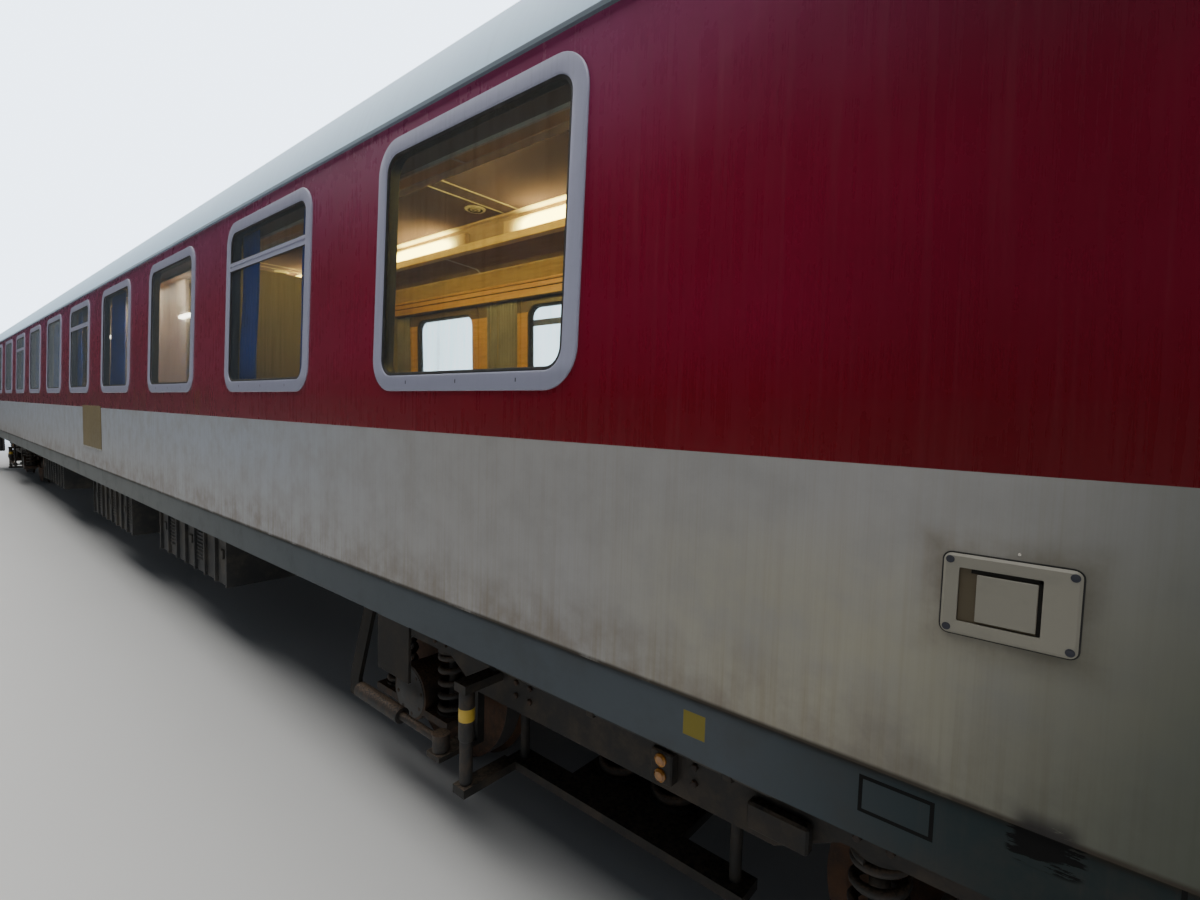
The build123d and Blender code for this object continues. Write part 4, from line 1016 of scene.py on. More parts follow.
class COACH_OT_windows(Operator):
    """Window frames with bevelled edges, hopper bars, drain slots and rubber seals"""

    bl_idname = "coach.windows"
    bl_label = "Windows"

    def execute(self, context):
        s = sizes()
        places, middle = window_places()
        width, height, band, corner = s.frame_width, s.frame_height, s.frame_band, s.frame_corner
        glass_width, glass_height = width - 2 * band, height - 2 * band
        frames, seals = forms(2)
        profile = (
            (0.0, -0.001),
            (0.0, 0.005),
            (0.004, 0.0090),
            (0.010, 0.0099),
            (band - 0.016, 0.0099),
            (band - 0.012, 0.0092),
            (band - 0.008, 0.0092),
            (band - 0.004, 0.0070),
            (band, -0.001),
        )
        lip = (
            (band - 0.003, 0.0),
            (band - 0.001, 0.0052),
            (band + 0.004, 0.0048),
            (band + 0.009, 0.0030),
            (band + 0.011, 0.0),
        )
        for _, side in SIDES:
            for i, x in enumerate(places):
                wall_ring(frames, side, x, middle, width, height, corner, profile)
                wall_ring(seals, side, x, middle, width, height, corner, lip)
                foot = middle - height / 2
                for slot in (x - 0.36, x, x + 0.36):
                    along = (slot - 0.0035, slot + 0.0035)
                    wall_block(seals, side, along, (foot + 0.030, foot + 0.046), (0.004, 0.0101))
                if i % 3 == 1:
                    top = middle + glass_height / 2 - s.hopper_drop
                    reach = glass_width / 2 + 0.004
                    along = (x - reach, x + reach)
                    for low, high, out in ((-0.5, -0.12, 0.0095), (-0.13, 0.13, 0.0040), (0.12, 0.5, 0.0095)):
                        limits = (top + low * s.hopper_bar, top + high * s.hopper_bar)
                        wall_block(frames, side, along, limits, (-0.001, out), 0.002)
                    for edge in (top - s.hopper_bar / 2, top + s.hopper_bar / 2):
                        wall_block(seals, side, along, (edge - 0.005, edge + 0.005), (0, 0.007))
        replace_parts(frames.piece("window_trim", "frame_paint", "frame_metal"), "window_frames")
        seals.piece("window_seals", "rubber", "rubber")
        return {"FINISHED"}


class COACH_OT_window_linings(Operator):
    """Dark surrounds inside each window, and the wood pillars, cornices and sills round them"""

    bl_idname = "coach.window_linings"
    bl_label = "Window linings"

    def execute(self, context):
        s = sizes()
        places, middle = window_places()
        inner = -WALL_THICKNESS
        surrounds, pillars, dado, cornices, grooves, slopes, faces, edges = forms(8)
        near = (
            (0.0, inner + 0.001),
            (0.0, inner - 0.004),
            (0.006, inner - 0.006),
            (0.052, inner - 0.006),
            (0.058, inner - 0.002),
            (0.063, inner + 0.022),
            (0.066, -0.026),
        )
        # The far surrounds narrow the windows: each row's width, height, corner, drop and way out
        far = (
            (1.296, 1.130, 0.15, 0.000, inner + 0.001),
            (1.296, 1.130, 0.15, 0.000, inner - 0.010),
            (1.284, 1.118, 0.144, 0.000, inner - 0.014),
            (1.090, 0.930, 0.125, 0.025, inner - 0.014),
            (1.060, 0.900, 0.115, 0.025, inner - 0.004),
            (1.044, 0.884, 0.110, 0.025, inner + 0.030),
            (1.040, 0.880, 0.108, 0.025, -0.026),
        )
        for x in places:
            wall_ring(surrounds, -1, x, middle, s.frame_width, s.frame_height, s.frame_corner, near)
            rows = []
            for width, height, corner, drop, out in far:
                outline = rounded(width, height, corner)
                rows.append([on_wall(1, x + u, middle - drop + v, out) for u, v in outline])
            faces.rows(rows[:4])
            surrounds.rows(rows[3:])
        reach = s.windows / 2 * s.pitch
        bays = [(x - s.pitch / 2, x + s.pitch / 2) for x in places]
        half = s.pitch / 2 - s.frame_width / 2 - 0.010
        foot, head = middle - s.frame_height / 2 - 0.02, (PELMET_LOW.z - WALL_BREAK) / cos(WALL_LEAN)
        rows = [(SALOON_REAR, reach + 0.18), *(bay for bay in bays if bay[1] <= SALOON_REAR)]
        thick = (inner - 0.012, inner + 0.001)
        for _, side in SIDES:
            for x in (reach, *(start for start, _ in bays)):
                wall_block(pillars, side, (x - half, x + half), (foot, head), thick, 0.004)
            height = (WALL_BREAK - 0.05, WALL_BREAK - 0.01)
            flat_block(dado, side, (-reach, reach), height, (inner - 0.02, inner + 0.001), 0.006)
            back = side * PELMET_INNER
            for x0, x1 in rows:
                x0, x1 = x0 + 0.022, x1 - 0.022
                for low, high, face in ((3.165, 3.241, 1.196), (3.251, 3.295, 1.190), (3.305, 3.338, 1.184)):
                    cornices.block((x0, side * face, low), (x1, back, high), 0.003)
                grooves.block((x0, side * 1.200, 3.166), (x1, back, 3.336))
                slope = ((1.192, 3.318), (1.040, 3.424), (1.040, 3.438), (1.192, 3.334))
                slopes.capped([[(x, side * y, z) for y, z in slope] for x in (x0, x1)])
        y, z = -PELMET_INNER, PELMET_LOW.z
        edges.block((SALOON_REAR + 0.02, y - 0.003, z - 0.016), (reach + 0.18, y + 0.010, z + 0.003))
        edges.piece("pelmet_edge", "joint_trim", "pelmet_wood")
        faces.piece("surround_faces", "pelmet_wood", "inner_wall")
        surrounds.piece("window_surrounds", "dark_trim", "inner_wall")
        pillars.piece("wood_pillars", "pelmet_wood", "pelmet_wood")
        dado.piece("sill_rails", "table_wood", "table")
        cornices.piece("cornices", "pelmet_wood", "pelmet_wood")
        # The grooves between the cornice steps are black as painted shade
        grooves.piece("cornice_grooves", "soot", "pelmet_wood")
        slopes.piece("cornice_slopes", "light_wood", "pelmet_wood")
        return {"FINISHED"}


def hang_curtains(name, side, finish, spread, pleat, depth, seed):
    """Pleated curtains at both sides of each window of one side wall, hung from the pelmets."""
    s = sizes()
    places, _ = window_places()
    top = PELMET_LOW.z + 0.004
    bottom = s.frame_sill + 0.046
    outer = s.frame_width / 2 - s.frame_band + 0.04 if side < 0 else s.pitch / 2 - 0.004
    cloth_form = Form()
    rows_count = 14
    for i, x in enumerate(places):
        for j, edge in enumerate((-1, 1)):
            wide = spread(i, edge)
            if wide <= 0:
                continue
            pleats = max(3, round(wide / pleat))
            count = pleats * 10
            rows = []
            for r in range(rows_count + 1):
                down = r / rows_count
                z = top + (bottom - top) * down
                row = []
                for k in range(count + 1):
                    share = k / count
                    lean = noise.noise(Vector((share * 3, down * 1.5, seed + i * 7 + j * 3)))
                    wave = sin(share * pleats * tau + lean * 1.6) * depth * (0.55 + 0.45 * down)
                    sway = 0.012 * noise.noise(Vector((share * 2, down * 2, seed + i * 5 + j)))
                    u = x + edge * (outer - wide * share) + lean * 0.008 * down
                    gap = 0.022 + wave + sway * down
                    row.append((u, side * (inner_wall_y(z) - gap), z))
                rows.append(row)
            cloth_form.rows(rows, ring=False)
    piece = cloth_form.piece(name, finish, "curtain", smooth=180)
    thick = piece.modifiers.new("cloth", "SOLIDIFY")
    thick.thickness = 0.0016
    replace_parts(piece, "curtains")


class COACH_OT_curtains(Operator):
    """Blue curtains on the near side and grey ones on the far side"""

    bl_idname = "coach.curtains"
    bl_label = "Curtains"

    def execute(self, context):
        # Each near curtain's width by its window and its edge. The first windows show what is there.
        widths = {(0, -1): 0.0, (0, 1): 0.0, (1, -1): 0.30, (2, -1): 0.0, (3, -1): 0.65, (4, 1): 0.40}
        widths.update({(i, edge): 0.56 for i in range(5, sizes().windows) for edge in (-1, 1)})

        def near(i, edge):
            return widths.get((i, edge), 0.26)

        def far(_, edge):
            return 0.24 - edge * 0.06

        hang_curtains("curtains_near", -1, "near_cloth", near, 0.052, 0.012, 11.0)
        hang_curtains("curtains_far", 1, "far_cloth", far, 0.045, 0.014, 47.0)
        return {"FINISHED"}


class COACH_OT_ceiling(Operator):
    """Ceiling joints, round vents and the wood lips below the lights"""

    bl_idname = "coach.ceiling"
    bl_label = "Ceiling"

    def execute(self, context):
        trims, vents, cores, rims, plain, glows, bars = forms(7)
        pitch = sizes().pitch
        reach = sizes().windows / 2 * pitch
        raft = RAFT_Z
        half = COVE_Y - 0.055
        bays = [-reach + i * pitch for i in range(sizes().windows)]
        for bay in bays:
            for x in (bay + 0.92, bay + 1.10):
                trims.block((x - 0.007, -half, raft - 0.004), (x + 0.007, half, raft + 0.002), 0.001)
        wall_edge = (inner_wall_y(CEILING_LOW.z) - 0.02, CEILING_LOW.z + 0.014)
        section = (wall_edge, (KNEE_Y, KNEE_Z), (COVE_Y, COVE_Z))
        strip = ((-0.012, 0.001), (0.012, 0.001), (0.010, -0.004), (-0.010, -0.004))
        vent = ((-0.001, 0.088), (0.006, 0.088), (0.012, 0.080), (0.012, 0.064), (0.004, 0.060),
                (0.004, 0.046), (0.011, 0.042), (0.011, 0.026), (0.004, 0.022), (0.009, 0.018),
                (0.009, 0.004))
        for side in (-1, 1):
            for x in [*bays, reach]:
                for stretch in zip(section, section[1:]):
                    trims.capped([[(x + u, side * y, z + v) for u, v in strip] for y, z in stretch])
            for bay in reversed(bays):
                x, y = bay + pitch - 1.20, side * 0.36
                vents.turned((x, y, raft), DOWN, vent, 32)
                for inner, outer in ((0.0605, 0.0635), (0.0220, 0.0260)):
                    ring = ((0, outer), (0.008, outer), (0.008, inner), (0, inner))
                    cores.turned((x, y, raft - 0.0045), DOWN, ring, 32)
            y0, y1 = side * (COVE_Y - 0.050), side * (COVE_Y - 0.001)
            long_block(glows, reach + 0.15, y0, y1, raft - 0.018, raft - 0.001)
            lip = plain if side < 0 else rims
            y0, y1 = side * (COVE_Y - 0.056), side * (COVE_Y + 0.014)
            long_block(lip, reach + 0.2, y0, y1, COVE_Z - 0.006, COVE_Z + 0.004)
        long_block(rims, reach + 0.2, COVE_Y - 0.066, COVE_Y - 0.052, COVE_Z - 0.006, COVE_Z + 0.062, 0.004)
        for i in range(3):
            x = 3.0 - i * pitch
            bars.block((x - 0.6, -0.96, KNEE_Z - 0.022), (x + 0.6, -0.82, KNEE_Z + 0.004), 0.006)
            bars.block((x - 0.42, CORRIDOR_Y - 0.045, 3.005), (x - 0.06, CORRIDOR_Y + 0.001, 3.045), 0.008)
        bars.piece("corridor_lights", "corridor_shine", "light")
        glows.piece("light_edges", "lamp_shine", "light")
        plain.piece("cove_edge", "joint_trim", "ceiling")
        # The vents' gaps are black as painted shade
        cores.piece("vent_gaps", "soot", "ceiling")
        trims.piece("ceiling_joints", "joint_trim", "ceiling")
        vents.piece("ceiling_vents", "joint_trim", "ceiling")
        rims.piece("cove_lips", "light_wood", "pelmet_wood")
        return {"FINISHED"}


def cushion(form, low, high, steps=(12, 8)):
    """A stuffed cushion between two corners: crowned faces, and sides pulled in between its corners."""
    centre = (Vector(low) + Vector(high)) / 2
    half = (Vector(high) - Vector(low)) / 2
    across, along = steps
    for sign in (1, -1):
        rows = []
        for i in range(along + 1):
            row = []
            for j in range(across + 1):
                u, v = 2 * j / across - 1, 2 * i / along - 1
                fall = (1 - abs(u) ** 5) * (1 - abs(v) ** 5)
                pull = 1 - 0.018 * (1 - v * v) * abs(u) ** 6
                tuck = 1 - 0.03 * (1 - u * u) * abs(v) ** 6
                rise = sign * (0.62 * fall**0.35 + 0.38 * fall)
                row.append(centre + Vector((half.x * u * pull, half.y * v * tuck, half.z * rise)))
            rows.append(row[::sign])
        form.rows(rows, ring=False)
    return form


class COACH_OT_seats(Operator):
    """Benches: a shell, crowned seat cushions and crowned back cushions each"""

    bl_idname = "coach.seats"
    bl_label = "Seats"

    def execute(self, context):
        s = sizes()
        shells, pads = forms(2)
        places, _ = window_places()
        inside = BOX_FACE
        benches = []
        for x in places:
            saloon = x > SALOON_REAR
            gap = 0.04 if saloon else 0.021
            rows = ((-inside, -0.38), (0.38, inside)) if saloon else ((-0.58, inside),)
            for row in rows:
                benches.append((x - s.pitch / 2 + gap, 1, row))
                benches.append((x + s.pitch / 2 - gap, -1, row))
        # Heights of a bench's underside, seat cushion and back
        rises = (0.16, 0.245, 0.43, 0.645, 0.85)
        under, pad_low, pad_top, back_middle, back_top = (FLOOR_TOP + rise for rise in rises)
        for back, face, (left, right) in benches:
            shells.block((back, left, under), (back + face * 0.50, right, under + 0.09), 0.012)
            shells.block((back, left, under), (back + face * 0.05, right, back_top), 0.014)
            foot = (back + face * 0.06, left + 0.08, FLOOR_TOP)
            shells.block(foot, (back + face * 0.40, right - 0.08, under + 0.01), 0.01)
            count = 2 if right - left < 1.2 else 3
            wide = (right - left) / count
            for i in range(count):
                y0, y1 = left + i * wide + 0.006, left + (i + 1) * wide - 0.006
                x = sorted((back + face * 0.10, back + face * 0.52))
                cushion(pads, (x[0], y0, pad_low), (x[1], y1, pad_top))
                centre = Vector((back + face * 0.088, (y0 + y1) / 2, back_middle))
                turn = Matrix.Rotation(face * radians(-4), 3, "Y")
                tall = cushion(Form(), (-0.215, y0 - centre.y, -0.042), (0.215, y1 - centre.y, 0.042))
                points = [centre + turn @ Vector((p[2] * face, p[1], p[0])) for p in tall.points]
                pads.add(points, [tuple(reversed(f)) if face > 0 else f for f in tall.faces])
        shell = shells.piece("seat_shells", "seat_shell", "inner_wall")
        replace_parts(shell, "seats")
        work = pads.piece("seat_cushions", "seat_cloth", "seat_fabric", smooth=60)
        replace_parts(work, "seats")
        return {"FINISHED"}


def coil(form, place, low, high, radius, wire, turns, steps=22):
    """A coil spring that stands between two heights, with flat closed ends."""
    path = []
    total = round((turns + 1.5) * steps)
    for i in range(total + 1):
        t = i / total * (turns + 1.5)
        climb = min(max(t - 0.75, 0.0) / turns, 1.0)
        a = t * tau
        z = low + wire / 2 + (high - low - wire) * climb
        path.append((place[0] + radius * cos(a), place[1] + radius * sin(a), z))
    return form.tube(path, wire / 2, 8)


def spring_seats(form, place, low, high, thick, rim, hole, count):
    """Round plates at a spring's foot and head, as wide as the rim and narrowing to the hole."""
    form.turned((*place, low), UP, ((0, rim), (thick, rim), (thick + 0.002, hole)), count)
    form.turned((*place, high - 0.022), UP, ((0, hole), (0.002, rim), (0.022, rim)), count)


class COACH_OT_springs(Operator):
    """Coil springs and dampers of both bogies"""

    bl_idname = "coach.springs"
    bl_label = "Springs"

    def execute(self, context):
        wire = sizes().coil_wire
        wing_top = AXLE_Z - 0.05
        beam = FLANGE + 0.76
        plank = FLANGE + 0.33
        bolster = FLANGE + 0.925 - 0.12
        tall = FLANGE + 0.85 - 0.09 - plank
        upright = ((0.0, 0.026), (0.012, 0.030), (0.02, 0.030), (0.20, 0.030), (0.205, 0.033), (0.212, 0.036),
                   (tall - 0.02, 0.036), (tall, 0.030))
        band = ((0, 0.0362), (0.003, 0.0368), (0.055, 0.0368), (0.058, 0.0362))
        for end, sign in ENDS:
            body = f"bogie_{end}"
            middle = sign * BOGIE_X
            springs, seats, dampers, bands = forms(4)
            for axle in (-AXLE_X, AXLE_X):
                for off in (-0.25, 0.25):
                    for y in (-1.0, 1.0):
                        place = (middle + axle + off, y)
                        coil(springs, place, wing_top + 0.014, beam - 0.02, 0.072, wire, 4.2)
                        spring_seats(seats, place, wing_top, beam, 0.012, 0.088, 0.05, 28)
                        dampers.turned((*place, wing_top), UP, ((0, 0.03), (0.30, 0.03), (0.35, 0.03)), 16)
            for off in (-0.15, 0.15):
                for y in (-0.69, 0.69):
                    place = (middle + off, y)
                    coil(springs, place, plank + 0.016, bolster - 0.02, 0.098, wire * 1.25, 4.6)
                    spring_seats(seats, place, plank, bolster, 0.014, 0.118, 0.06, 30)
            for y in (-1.262, 1.262):
                x = middle - sign * 0.6
                dampers.turned((x, y, plank), UP, upright, 28)
                bands.turned((x, y, plank + 0.295), UP, band, 28)
            whole = springs.piece(f"{body}_coils", "spring_steel", "spring", body, smooth=60)
            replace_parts(whole, f"{body}_suspension")
            seats.piece(f"{body}_spring_seats", "bogie_iron", "bogie_paint", body)
            dampers.piece(f"{body}_dampers", "spring_steel", "spring", body)
            bands.piece(f"{body}_damper_bands", "yellow_paint", "spring", body)
        return {"FINISHED"}


class COACH_OT_bogies(Operator):
    """Axle-box covers, bolts, pipes and brake indicators of both bogies"""

    bl_idname = "coach.bogies"
    bl_label = "Bogie fittings"

    def execute(self, context):
        cover = ((-0.004, 0.135), (0.012, 0.135), (0.020, 0.128), (0.022, 0.090), (0.034, 0.082),
                 (0.050, 0.050), (0.052, 0.012))
        bolt = ((-0.002, 0.013), (0.009, 0.013), (0.012, 0.010))
        indicator = ((-0.002, 0.024), (0.006, 0.024), (0.012, 0.016), (0.013, 0.004))
        # The pipe's height at distances from the bogie's middle: it steps down with the side beam
        outer, inner = 0.875, 0.820
        step = ((1.55, outer), (0.99, outer), (0.93, 0.865), (0.80, 0.828), (0.74, inner))
        route = [(-x, z) for x, z in step] + [(x, z) for x, z in reversed(step)]
        for end, sign in ENDS:
            body = f"bogie_{end}"
            middle = sign * BOGIE_X
            covers, bolts, pipes, lamps, boxes = forms(5)
            for side in (-1, 1):
                out = (0, side, 0)
                face, beam = side * 1.11, side * 1.09
                for axle in (-AXLE_X, AXLE_X):
                    x = middle + axle
                    # The yaw dampers pass close outside the inner axles' covers
                    flat = 0.16 if axle * sign < 0 else 1.0
                    covers.turned((x, face, AXLE_Z), out, [(reach * flat, r) for reach, r in cover], 40)
                    for a in angles(8, 0.2):
                        place = (x + 0.112 * cos(a), face + side * 0.018 * flat, AXLE_Z + 0.112 * sin(a))
                        head = ((0, 0.011), (0.010 * flat, 0.011), (0.012 * flat, 0.009))
                        bolts.turned(place, out, head, 6)
                for x in (-1.55, -1.05, -0.42, 0.42, 1.05, 1.55):
                    high = 0.83 if abs(x) > 0.96 else 0.75
                    for dx in (-0.045, 0.045):
                        for dz in (-0.03, 0.03):
                            bolts.turned((middle + x + dx, beam, FLANGE + high + dz), out, bolt, 6)
                pipes.tube([(middle + x, beam + side * 0.018, FLANGE + z) for x, z in route], 0.011, 10)
                for x in (-1.3, -0.6, 0.0, 0.6, 1.3):
                    z = FLANGE + (outer if abs(x) > 0.96 else inner)
                    x += middle
                    boxes.block((x - 0.02, beam, z - 0.02), (x + 0.02, beam + side * 0.034, z + 0.02), 0.004)
                lid = beam + side * 0.045
                x = middle + sign * 0.35
                boxes.block((x - 0.045, beam, FLANGE + 0.69), (x + 0.045, lid, FLANGE + 0.81), 0.006)
                for z in (0.722, 0.778):
                    lamps.turned((x, lid, FLANGE + z), out, indicator, 20)
                x = middle + sign * 0.78
                boxes.block((x - 0.10, beam, FLANGE + 0.69), (x + 0.10, lid, FLANGE + 0.78), 0.008)
            covers.piece(f"{body}_axle_covers", "greasy_iron", "brake_iron", body)
            bolts.piece(f"{body}_bolts", "brake_iron", "bogie_paint", body)
            pipes.piece(f"{body}_pipes", "box_paint", "bogie_paint", body, smooth=60)
            boxes.piece(f"{body}_brackets", "bogie_iron", "bogie_paint", body)
            lamps.piece(f"{body}_indicators", "amber_lens", "lamp", body)
        return {"FINISHED"}


def arch_path(half, top, bottom, corner, steps=8):
    """Points and outward directions along an arch that stands on its two feet."""
    path = [((-half, bottom), (-1, 0))]
    for centre_y, start in ((-half + corner, pi), (half - corner, pi / 2)):
        for i in range(steps + 1):
            a = start - i / steps * pi / 2
            path.append(((centre_y + corner * cos(a), top - corner + corner * sin(a)), (cos(a), sin(a))))
    path.append(((half, bottom), (1, 0)))
    return path


class COACH_OT_ends(Operator):
    """Gangway bellows with their folds, handrails and lamp lenses"""

    bl_idname = "coach.ends"
    bl_label = "Ends"

    def execute(self, context):
        low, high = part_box("gangway_bellows")
        arches, rails, lenses = forms(3)
        depth, bulge, folds = 0.148, 0.022, 3
        fold = depth / folds
        arch = arch_path(high.y, high.z, low.z, 0.29)
        rail = ((0, 1.42), (0.03, 1.42), (0.045, 1.435), (0.045, 1.46), (0.045, 2.30), (0.045, 2.325),
                (0.03, 2.34), (0, 2.34))
        lens_shape = ((-0.004, 0.070), (0.002, 0.070), (0.010, 0.060), (0.016, 0.040), (0.019, 0.010))
        for _, sign in ENDS:
            face = sign * END_X
            for k in range(folds):
                crest = []
                for i in range(9):
                    a = pi * i / 8
                    crest.append((k * fold + fold / 2 - fold / 2 * cos(a), bulge * sin(a)))
                ring = [(u, -w) for u, w in crest] + [(u, w - depth) for u, w in reversed(crest)]
                rows = []
                for (y, z), (ny, nz) in arch:
                    row = []
                    for u, w in ring:
                        sunk = max(min(w - bulge, 0.0), -depth)
                        row.append((face + sign * u, y + ny * sunk, z + nz * sunk))
                    rows.append(row)
                arches.capped(rows)
            for y in (-0.78, 0.78):
                rails.tube([(face + sign * out, y, z) for out, z in rail], 0.014, 12)
            for y in (-1.18, 1.18):
                lenses.turned((face + sign * 0.058, y, FLANGE + 1.56), (sign, 0, 0), lens_shape, 36)
        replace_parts(arches.piece("bellows_folds", "rubber", "rubber", smooth=50), "gangway_bellows")
        rails.piece("end_handrails", "yellow_paint", "latch", smooth=60)
        lenses.piece("lamp_lenses", "red_lens", "lamp", smooth=50)
        return {"FINISHED"}


class COACH_OT_doors(Operator):
    """Seals, handles and kick plates of the entrance doors"""

    bl_idname = "coach.doors"
    bl_label = "Doors"

    def execute(self, context):
        lip = ((-0.016, 0), (-0.014, 0.005), (-0.004, 0.007), (0.008, 0.004), (0.010, -0.012))
        handle = ((1.62, 0), (1.62, 0.02), (1.63, 0.03), (1.66, 0.034), (1.88, 0.034), (1.91, 0.03),
                  (1.92, 0.02), (1.92, 0))
        for place, side in SIDES:
            face = side * DOOR_FACE
            for end, sign in ENDS:
                for leaf in "ab":
                    body = f"door_{place}_{end}_{leaf}"
                    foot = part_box(f"door_{place}_{end}_leaf_{leaf}")[0].z
                    low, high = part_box(f"door_{place}_{end}_pane_{leaf}")
                    middle, size = (low + high) / 2, high - low
                    seals, plates = forms(2)
                    for out, surface in ((1, face), (-1, face - side * LEAF_THICKNESS)):
                        rows = []
                        for inset, up in lip:
                            y = surface + side * out * up
                            outline = rounded(size.x - 2 * inset, size.z - 2 * inset, 0.05 - inset, 6)
                            rows.append([(middle.x + u, y, middle.z + v) for u, v in outline])
                        seals.rows(rows)
                    x0, x1 = low.x - 0.05, high.x + 0.05
                    plates.block((x0, face, foot + 0.12), (x1, face + side * 0.003, foot + 0.32), 0.001)
                    if leaf == "b":
                        x = high.x + 0.055 if sign < 0 else low.x - 0.055
                        plates.tube([(x, face + side * out, z) for z, out in handle], 0.010, 10)
                    seals.piece(f"{body}_seal", "rubber", "rubber", body)
                    plates.piece(f"{body}_plates", "steel_trim", "latch", body)
        return {"FINISHED"}


class COACH_OT_side_fittings(Operator):
    """Latch covers with their screws, painted shade in their recesses and gaps and a painted highlight above,
    and the panels on the lower sides
    """

    bl_idname = "coach.side_fittings"
    bl_label = "Side fittings"

    def execute(self, context):
        plates, edges, pits, shades, glints, screws, panel, lip = forms(8)
        screw = ((-0.002, 0.0080), (0.0004, 0.0080), (0.0008, 0.0064), (0.0003, 0.0050))
        z = LATCH_Z
        for turn in (1, -1):
            side = -turn
            x = turn * LATCH_X
            recess = x - turn * 0.015
            flap = recess + turn * 0.014

            def rings(form, *outlines):
                """Skins rounded rectangles, each with its width, height, corner, middle and way out."""
                rows = []
                for width, height, corner, middle, out in outlines:
                    y = side * (HALF_WIDTH + out)
                    rows.append([(middle + u, y, z + v) for u, v in rounded(width, height, corner, 5)])
                form.rows(rows)

            rings(
                plates,
                (0.230, 0.170, 0.015, x, -0.001),
                (0.230, 0.170, 0.015, x, 0.0035),
                (0.220, 0.160, 0.012, x, 0.0078),
                (0.148, 0.120, 0.004, recess, 0.0078),
                (0.142, 0.114, 0.003, recess, 0.0068),
                (0.142, 0.114, 0.003, recess, 0.0014),
            )
            rings(
                edges,
                (0.2369, 0.1769, 0.0185, x, -0.001),
                (0.2359, 0.1759, 0.0180, x, 0.0012),
                (0.2299, 0.1699, 0.0150, x, 0.0012),
            )
            # The recess floor, dark as painted shade of a deeper hollow
            pit = (recess - 0.0709, recess + 0.0709)
            flat_block(pits, side, pit, (z - 0.0569, z + 0.0569), (-0.001, 0.0015))
            lid = (flap - turn * 0.053, flap + turn * 0.0495)
            flat_block(plates, side, lid, (z - 0.0515, z + 0.0465), (0.0012, 0.0064), 0.0015)
            # Dark blocks in the gaps beside and above the flap: painted shadow
            gap = (flap + turn * 0.0495, recess + turn * 0.0705)
            flat_block(shades, side, gap, (z - 0.0565, z + 0.0565), (-0.001, 0.0022))
            over = (recess - turn * 0.05, recess + turn * 0.0705)
            flat_block(shades, side, over, (z + 0.0470, z + 0.0565), (-0.001, 0.0022))
            for dx in (-0.103, 0.103):
                for dz in (-0.072, 0.072):
                    screws.turned((x + dx, side * (HALF_WIDTH + 0.0080), z + dz), (0, side, 0), screw, 16)
            # A pale dot above the plate: a painted highlight
            place = (x + turn * 0.014, side * (HALF_WIDTH + 0.0005), z + 0.100)
            glints.turned(place, (0, side, 0), ((-0.001, 0.003), (0.002, 0.002)), 12)
            flat_block(panel, side, (turn * 1.27, turn * 2.32), (1.455, 1.950), (-0.001, 0.006), 0.002)
            flat_block(lip, side, (turn * 1.25, turn * 2.34), (1.440, 1.456), (-0.001, 0.009), 0.002)
        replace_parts(plates.piece("latch_covers", "latch_paint", "latch", smooth=20), "latch_plates")
        edges.piece("latch_outlines", "rubber", "latch")
        pits.piece("latch_recesses", "rusty_paint", "latch")
        shades.piece("latch_gaps", "soot", "latch")
        glints.piece("latch_dots", "joint_trim", "latch")
        screws.piece("latch_screws", "dark_trim", "latch")
        panel.piece("side_panels", "grimy_yellow", "wall_paint")
        lip.piece("side_panel_lips", "steel_trim", "latch")
        return {"FINISHED"}


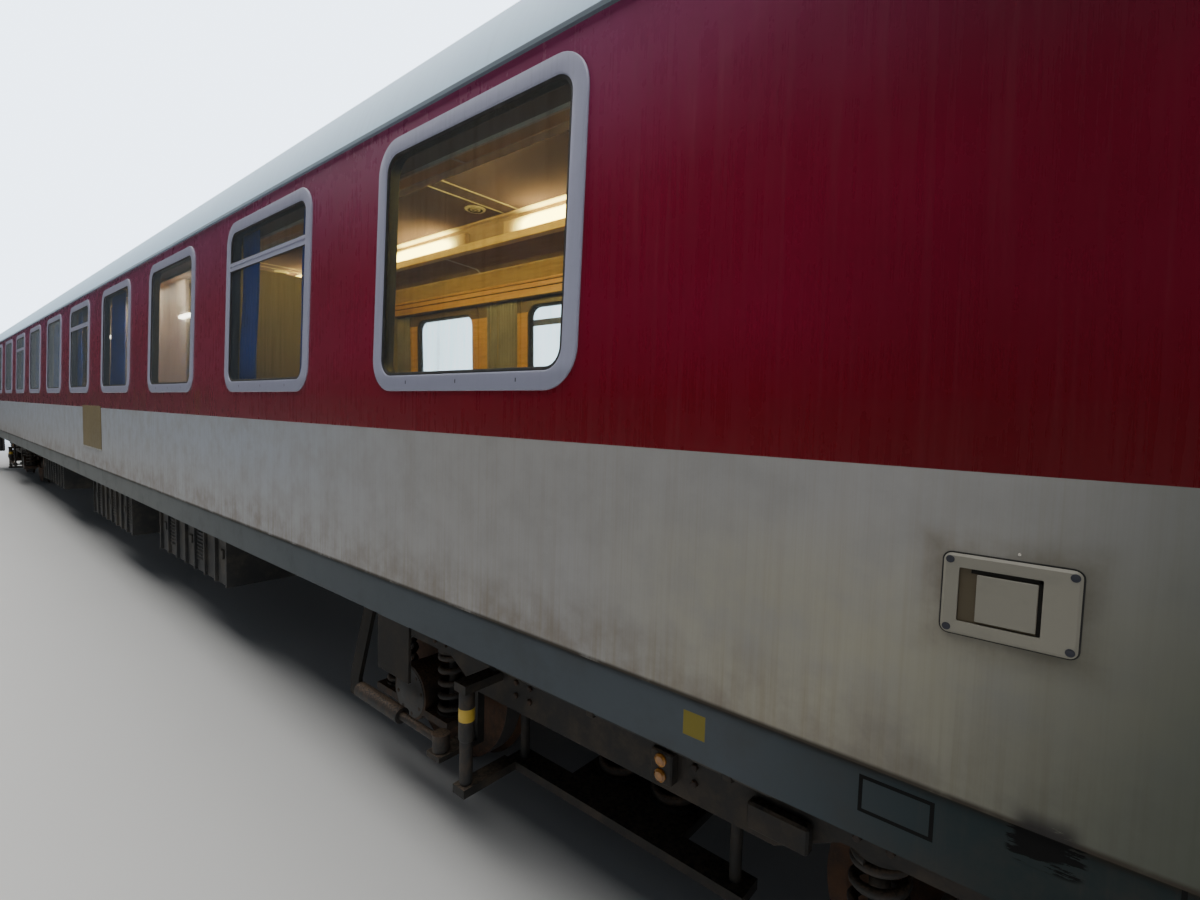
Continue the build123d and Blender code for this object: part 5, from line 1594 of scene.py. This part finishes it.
class COACH_OT_underfloor(Operator):
    """Latches and louvres of the equipment boxes, and the pipes under the floor"""

    bl_idname = "coach.underfloor"
    bl_label = "Underfloor"

    def execute(self, context):
        fittings, pipes = forms(2)
        # Each box's ends along the coach, its side and its lower edge
        boxes = ((4.26, 6.05, -1, 0.638), (1.2, 3.2, -1, 0.588), (-3.0, -1.0, -1, 0.638),
                 (3.0, 5.0, 1, 0.638), (-2.7, -0.5, 1, 0.588), (-5.0, -3.5, 1, 0.668))
        for x0, x1, side, bottom in boxes:
            face = side * BOX_FACE
            count = round((x1 - x0) / 0.25)
            wide = (x1 - x0 - 0.024) / count
            for i in range(count):
                a = x0 + 0.012 + i * wide
                b = a + wide
                if i % 3 == 1:
                    for k in range(9):
                        z = bottom + 0.09 + k * 0.032
                        fittings.block((a + 0.03, face, z), (b - 0.03, face + side * 0.010, z + 0.014), 0.004)
                elif i % 3 == 0:
                    low = (a + 0.09, face, bottom + 0.20)
                    fittings.block(low, (b - 0.09, face + side * 0.016, bottom + 0.27), 0.005)
        for y, radius, z in ((-0.42, 0.017, 1.045), (0.42, 0.017, 1.045), (0.50, 0.012, 1.055)):
            pipes.tube([(x, y, z) for x in (-12.4, -6, 0, 6, 12.4)], radius, 12)
        fittings.piece("box_fittings", "box_paint", "equipment")
        pipes.piece("floor_pipes", "brake_iron", "equipment", smooth=60)
        return {"FINISHED"}


OPERATORS = (
    COACH_OT_finishes,
    COACH_OT_stage,
    COACH_OT_windows,
    COACH_OT_window_linings,
    COACH_OT_curtains,
    COACH_OT_ceiling,
    COACH_OT_seats,
    COACH_OT_springs,
    COACH_OT_bogies,
    COACH_OT_ends,
    COACH_OT_doors,
    COACH_OT_side_fittings,
    COACH_OT_underfloor,
)


class COACH_PT_panel(Panel):
    """Lists the coach's pieces and the sizes and colours they use"""

    bl_idname = "COACH_PT_panel"
    bl_label = "Passenger Coach"
    bl_space_type = "VIEW_3D"
    bl_region_type = "UI"
    bl_category = "Coach"

    def draw(self, context):
        layout = self.layout
        for operator in OPERATORS:
            layout.operator(operator.bl_idname)
        for group in (context.scene.coach_sizes, context.scene.coach_colours, context.scene.coach_look):
            box = layout.box()
            for name in group.__annotations__:
                box.prop(group, name)


PROPERTIES = (
    ("coach_sizes", CoachSizes),
    ("coach_colours", CoachColours),
    ("coach_look", CoachLook),
)


def register():
    for name, group in PROPERTIES:
        bpy.utils.register_class(group)
        setattr(bpy.types.Scene, name, PointerProperty(type=group))
    for operator in OPERATORS:
        bpy.utils.register_class(operator)
    bpy.utils.register_class(COACH_PT_panel)


def unregister():
    bpy.utils.unregister_class(COACH_PT_panel)
    for operator in reversed(OPERATORS):
        bpy.utils.unregister_class(operator)
    for name, group in reversed(PROPERTIES):
        delattr(bpy.types.Scene, name)
        bpy.utils.unregister_class(group)


def main():
    register()
    for operator in OPERATORS:
        group, call = operator.bl_idname.split(".")
        getattr(getattr(bpy.ops, group), call)()


if __name__ == "__main__":
    main()
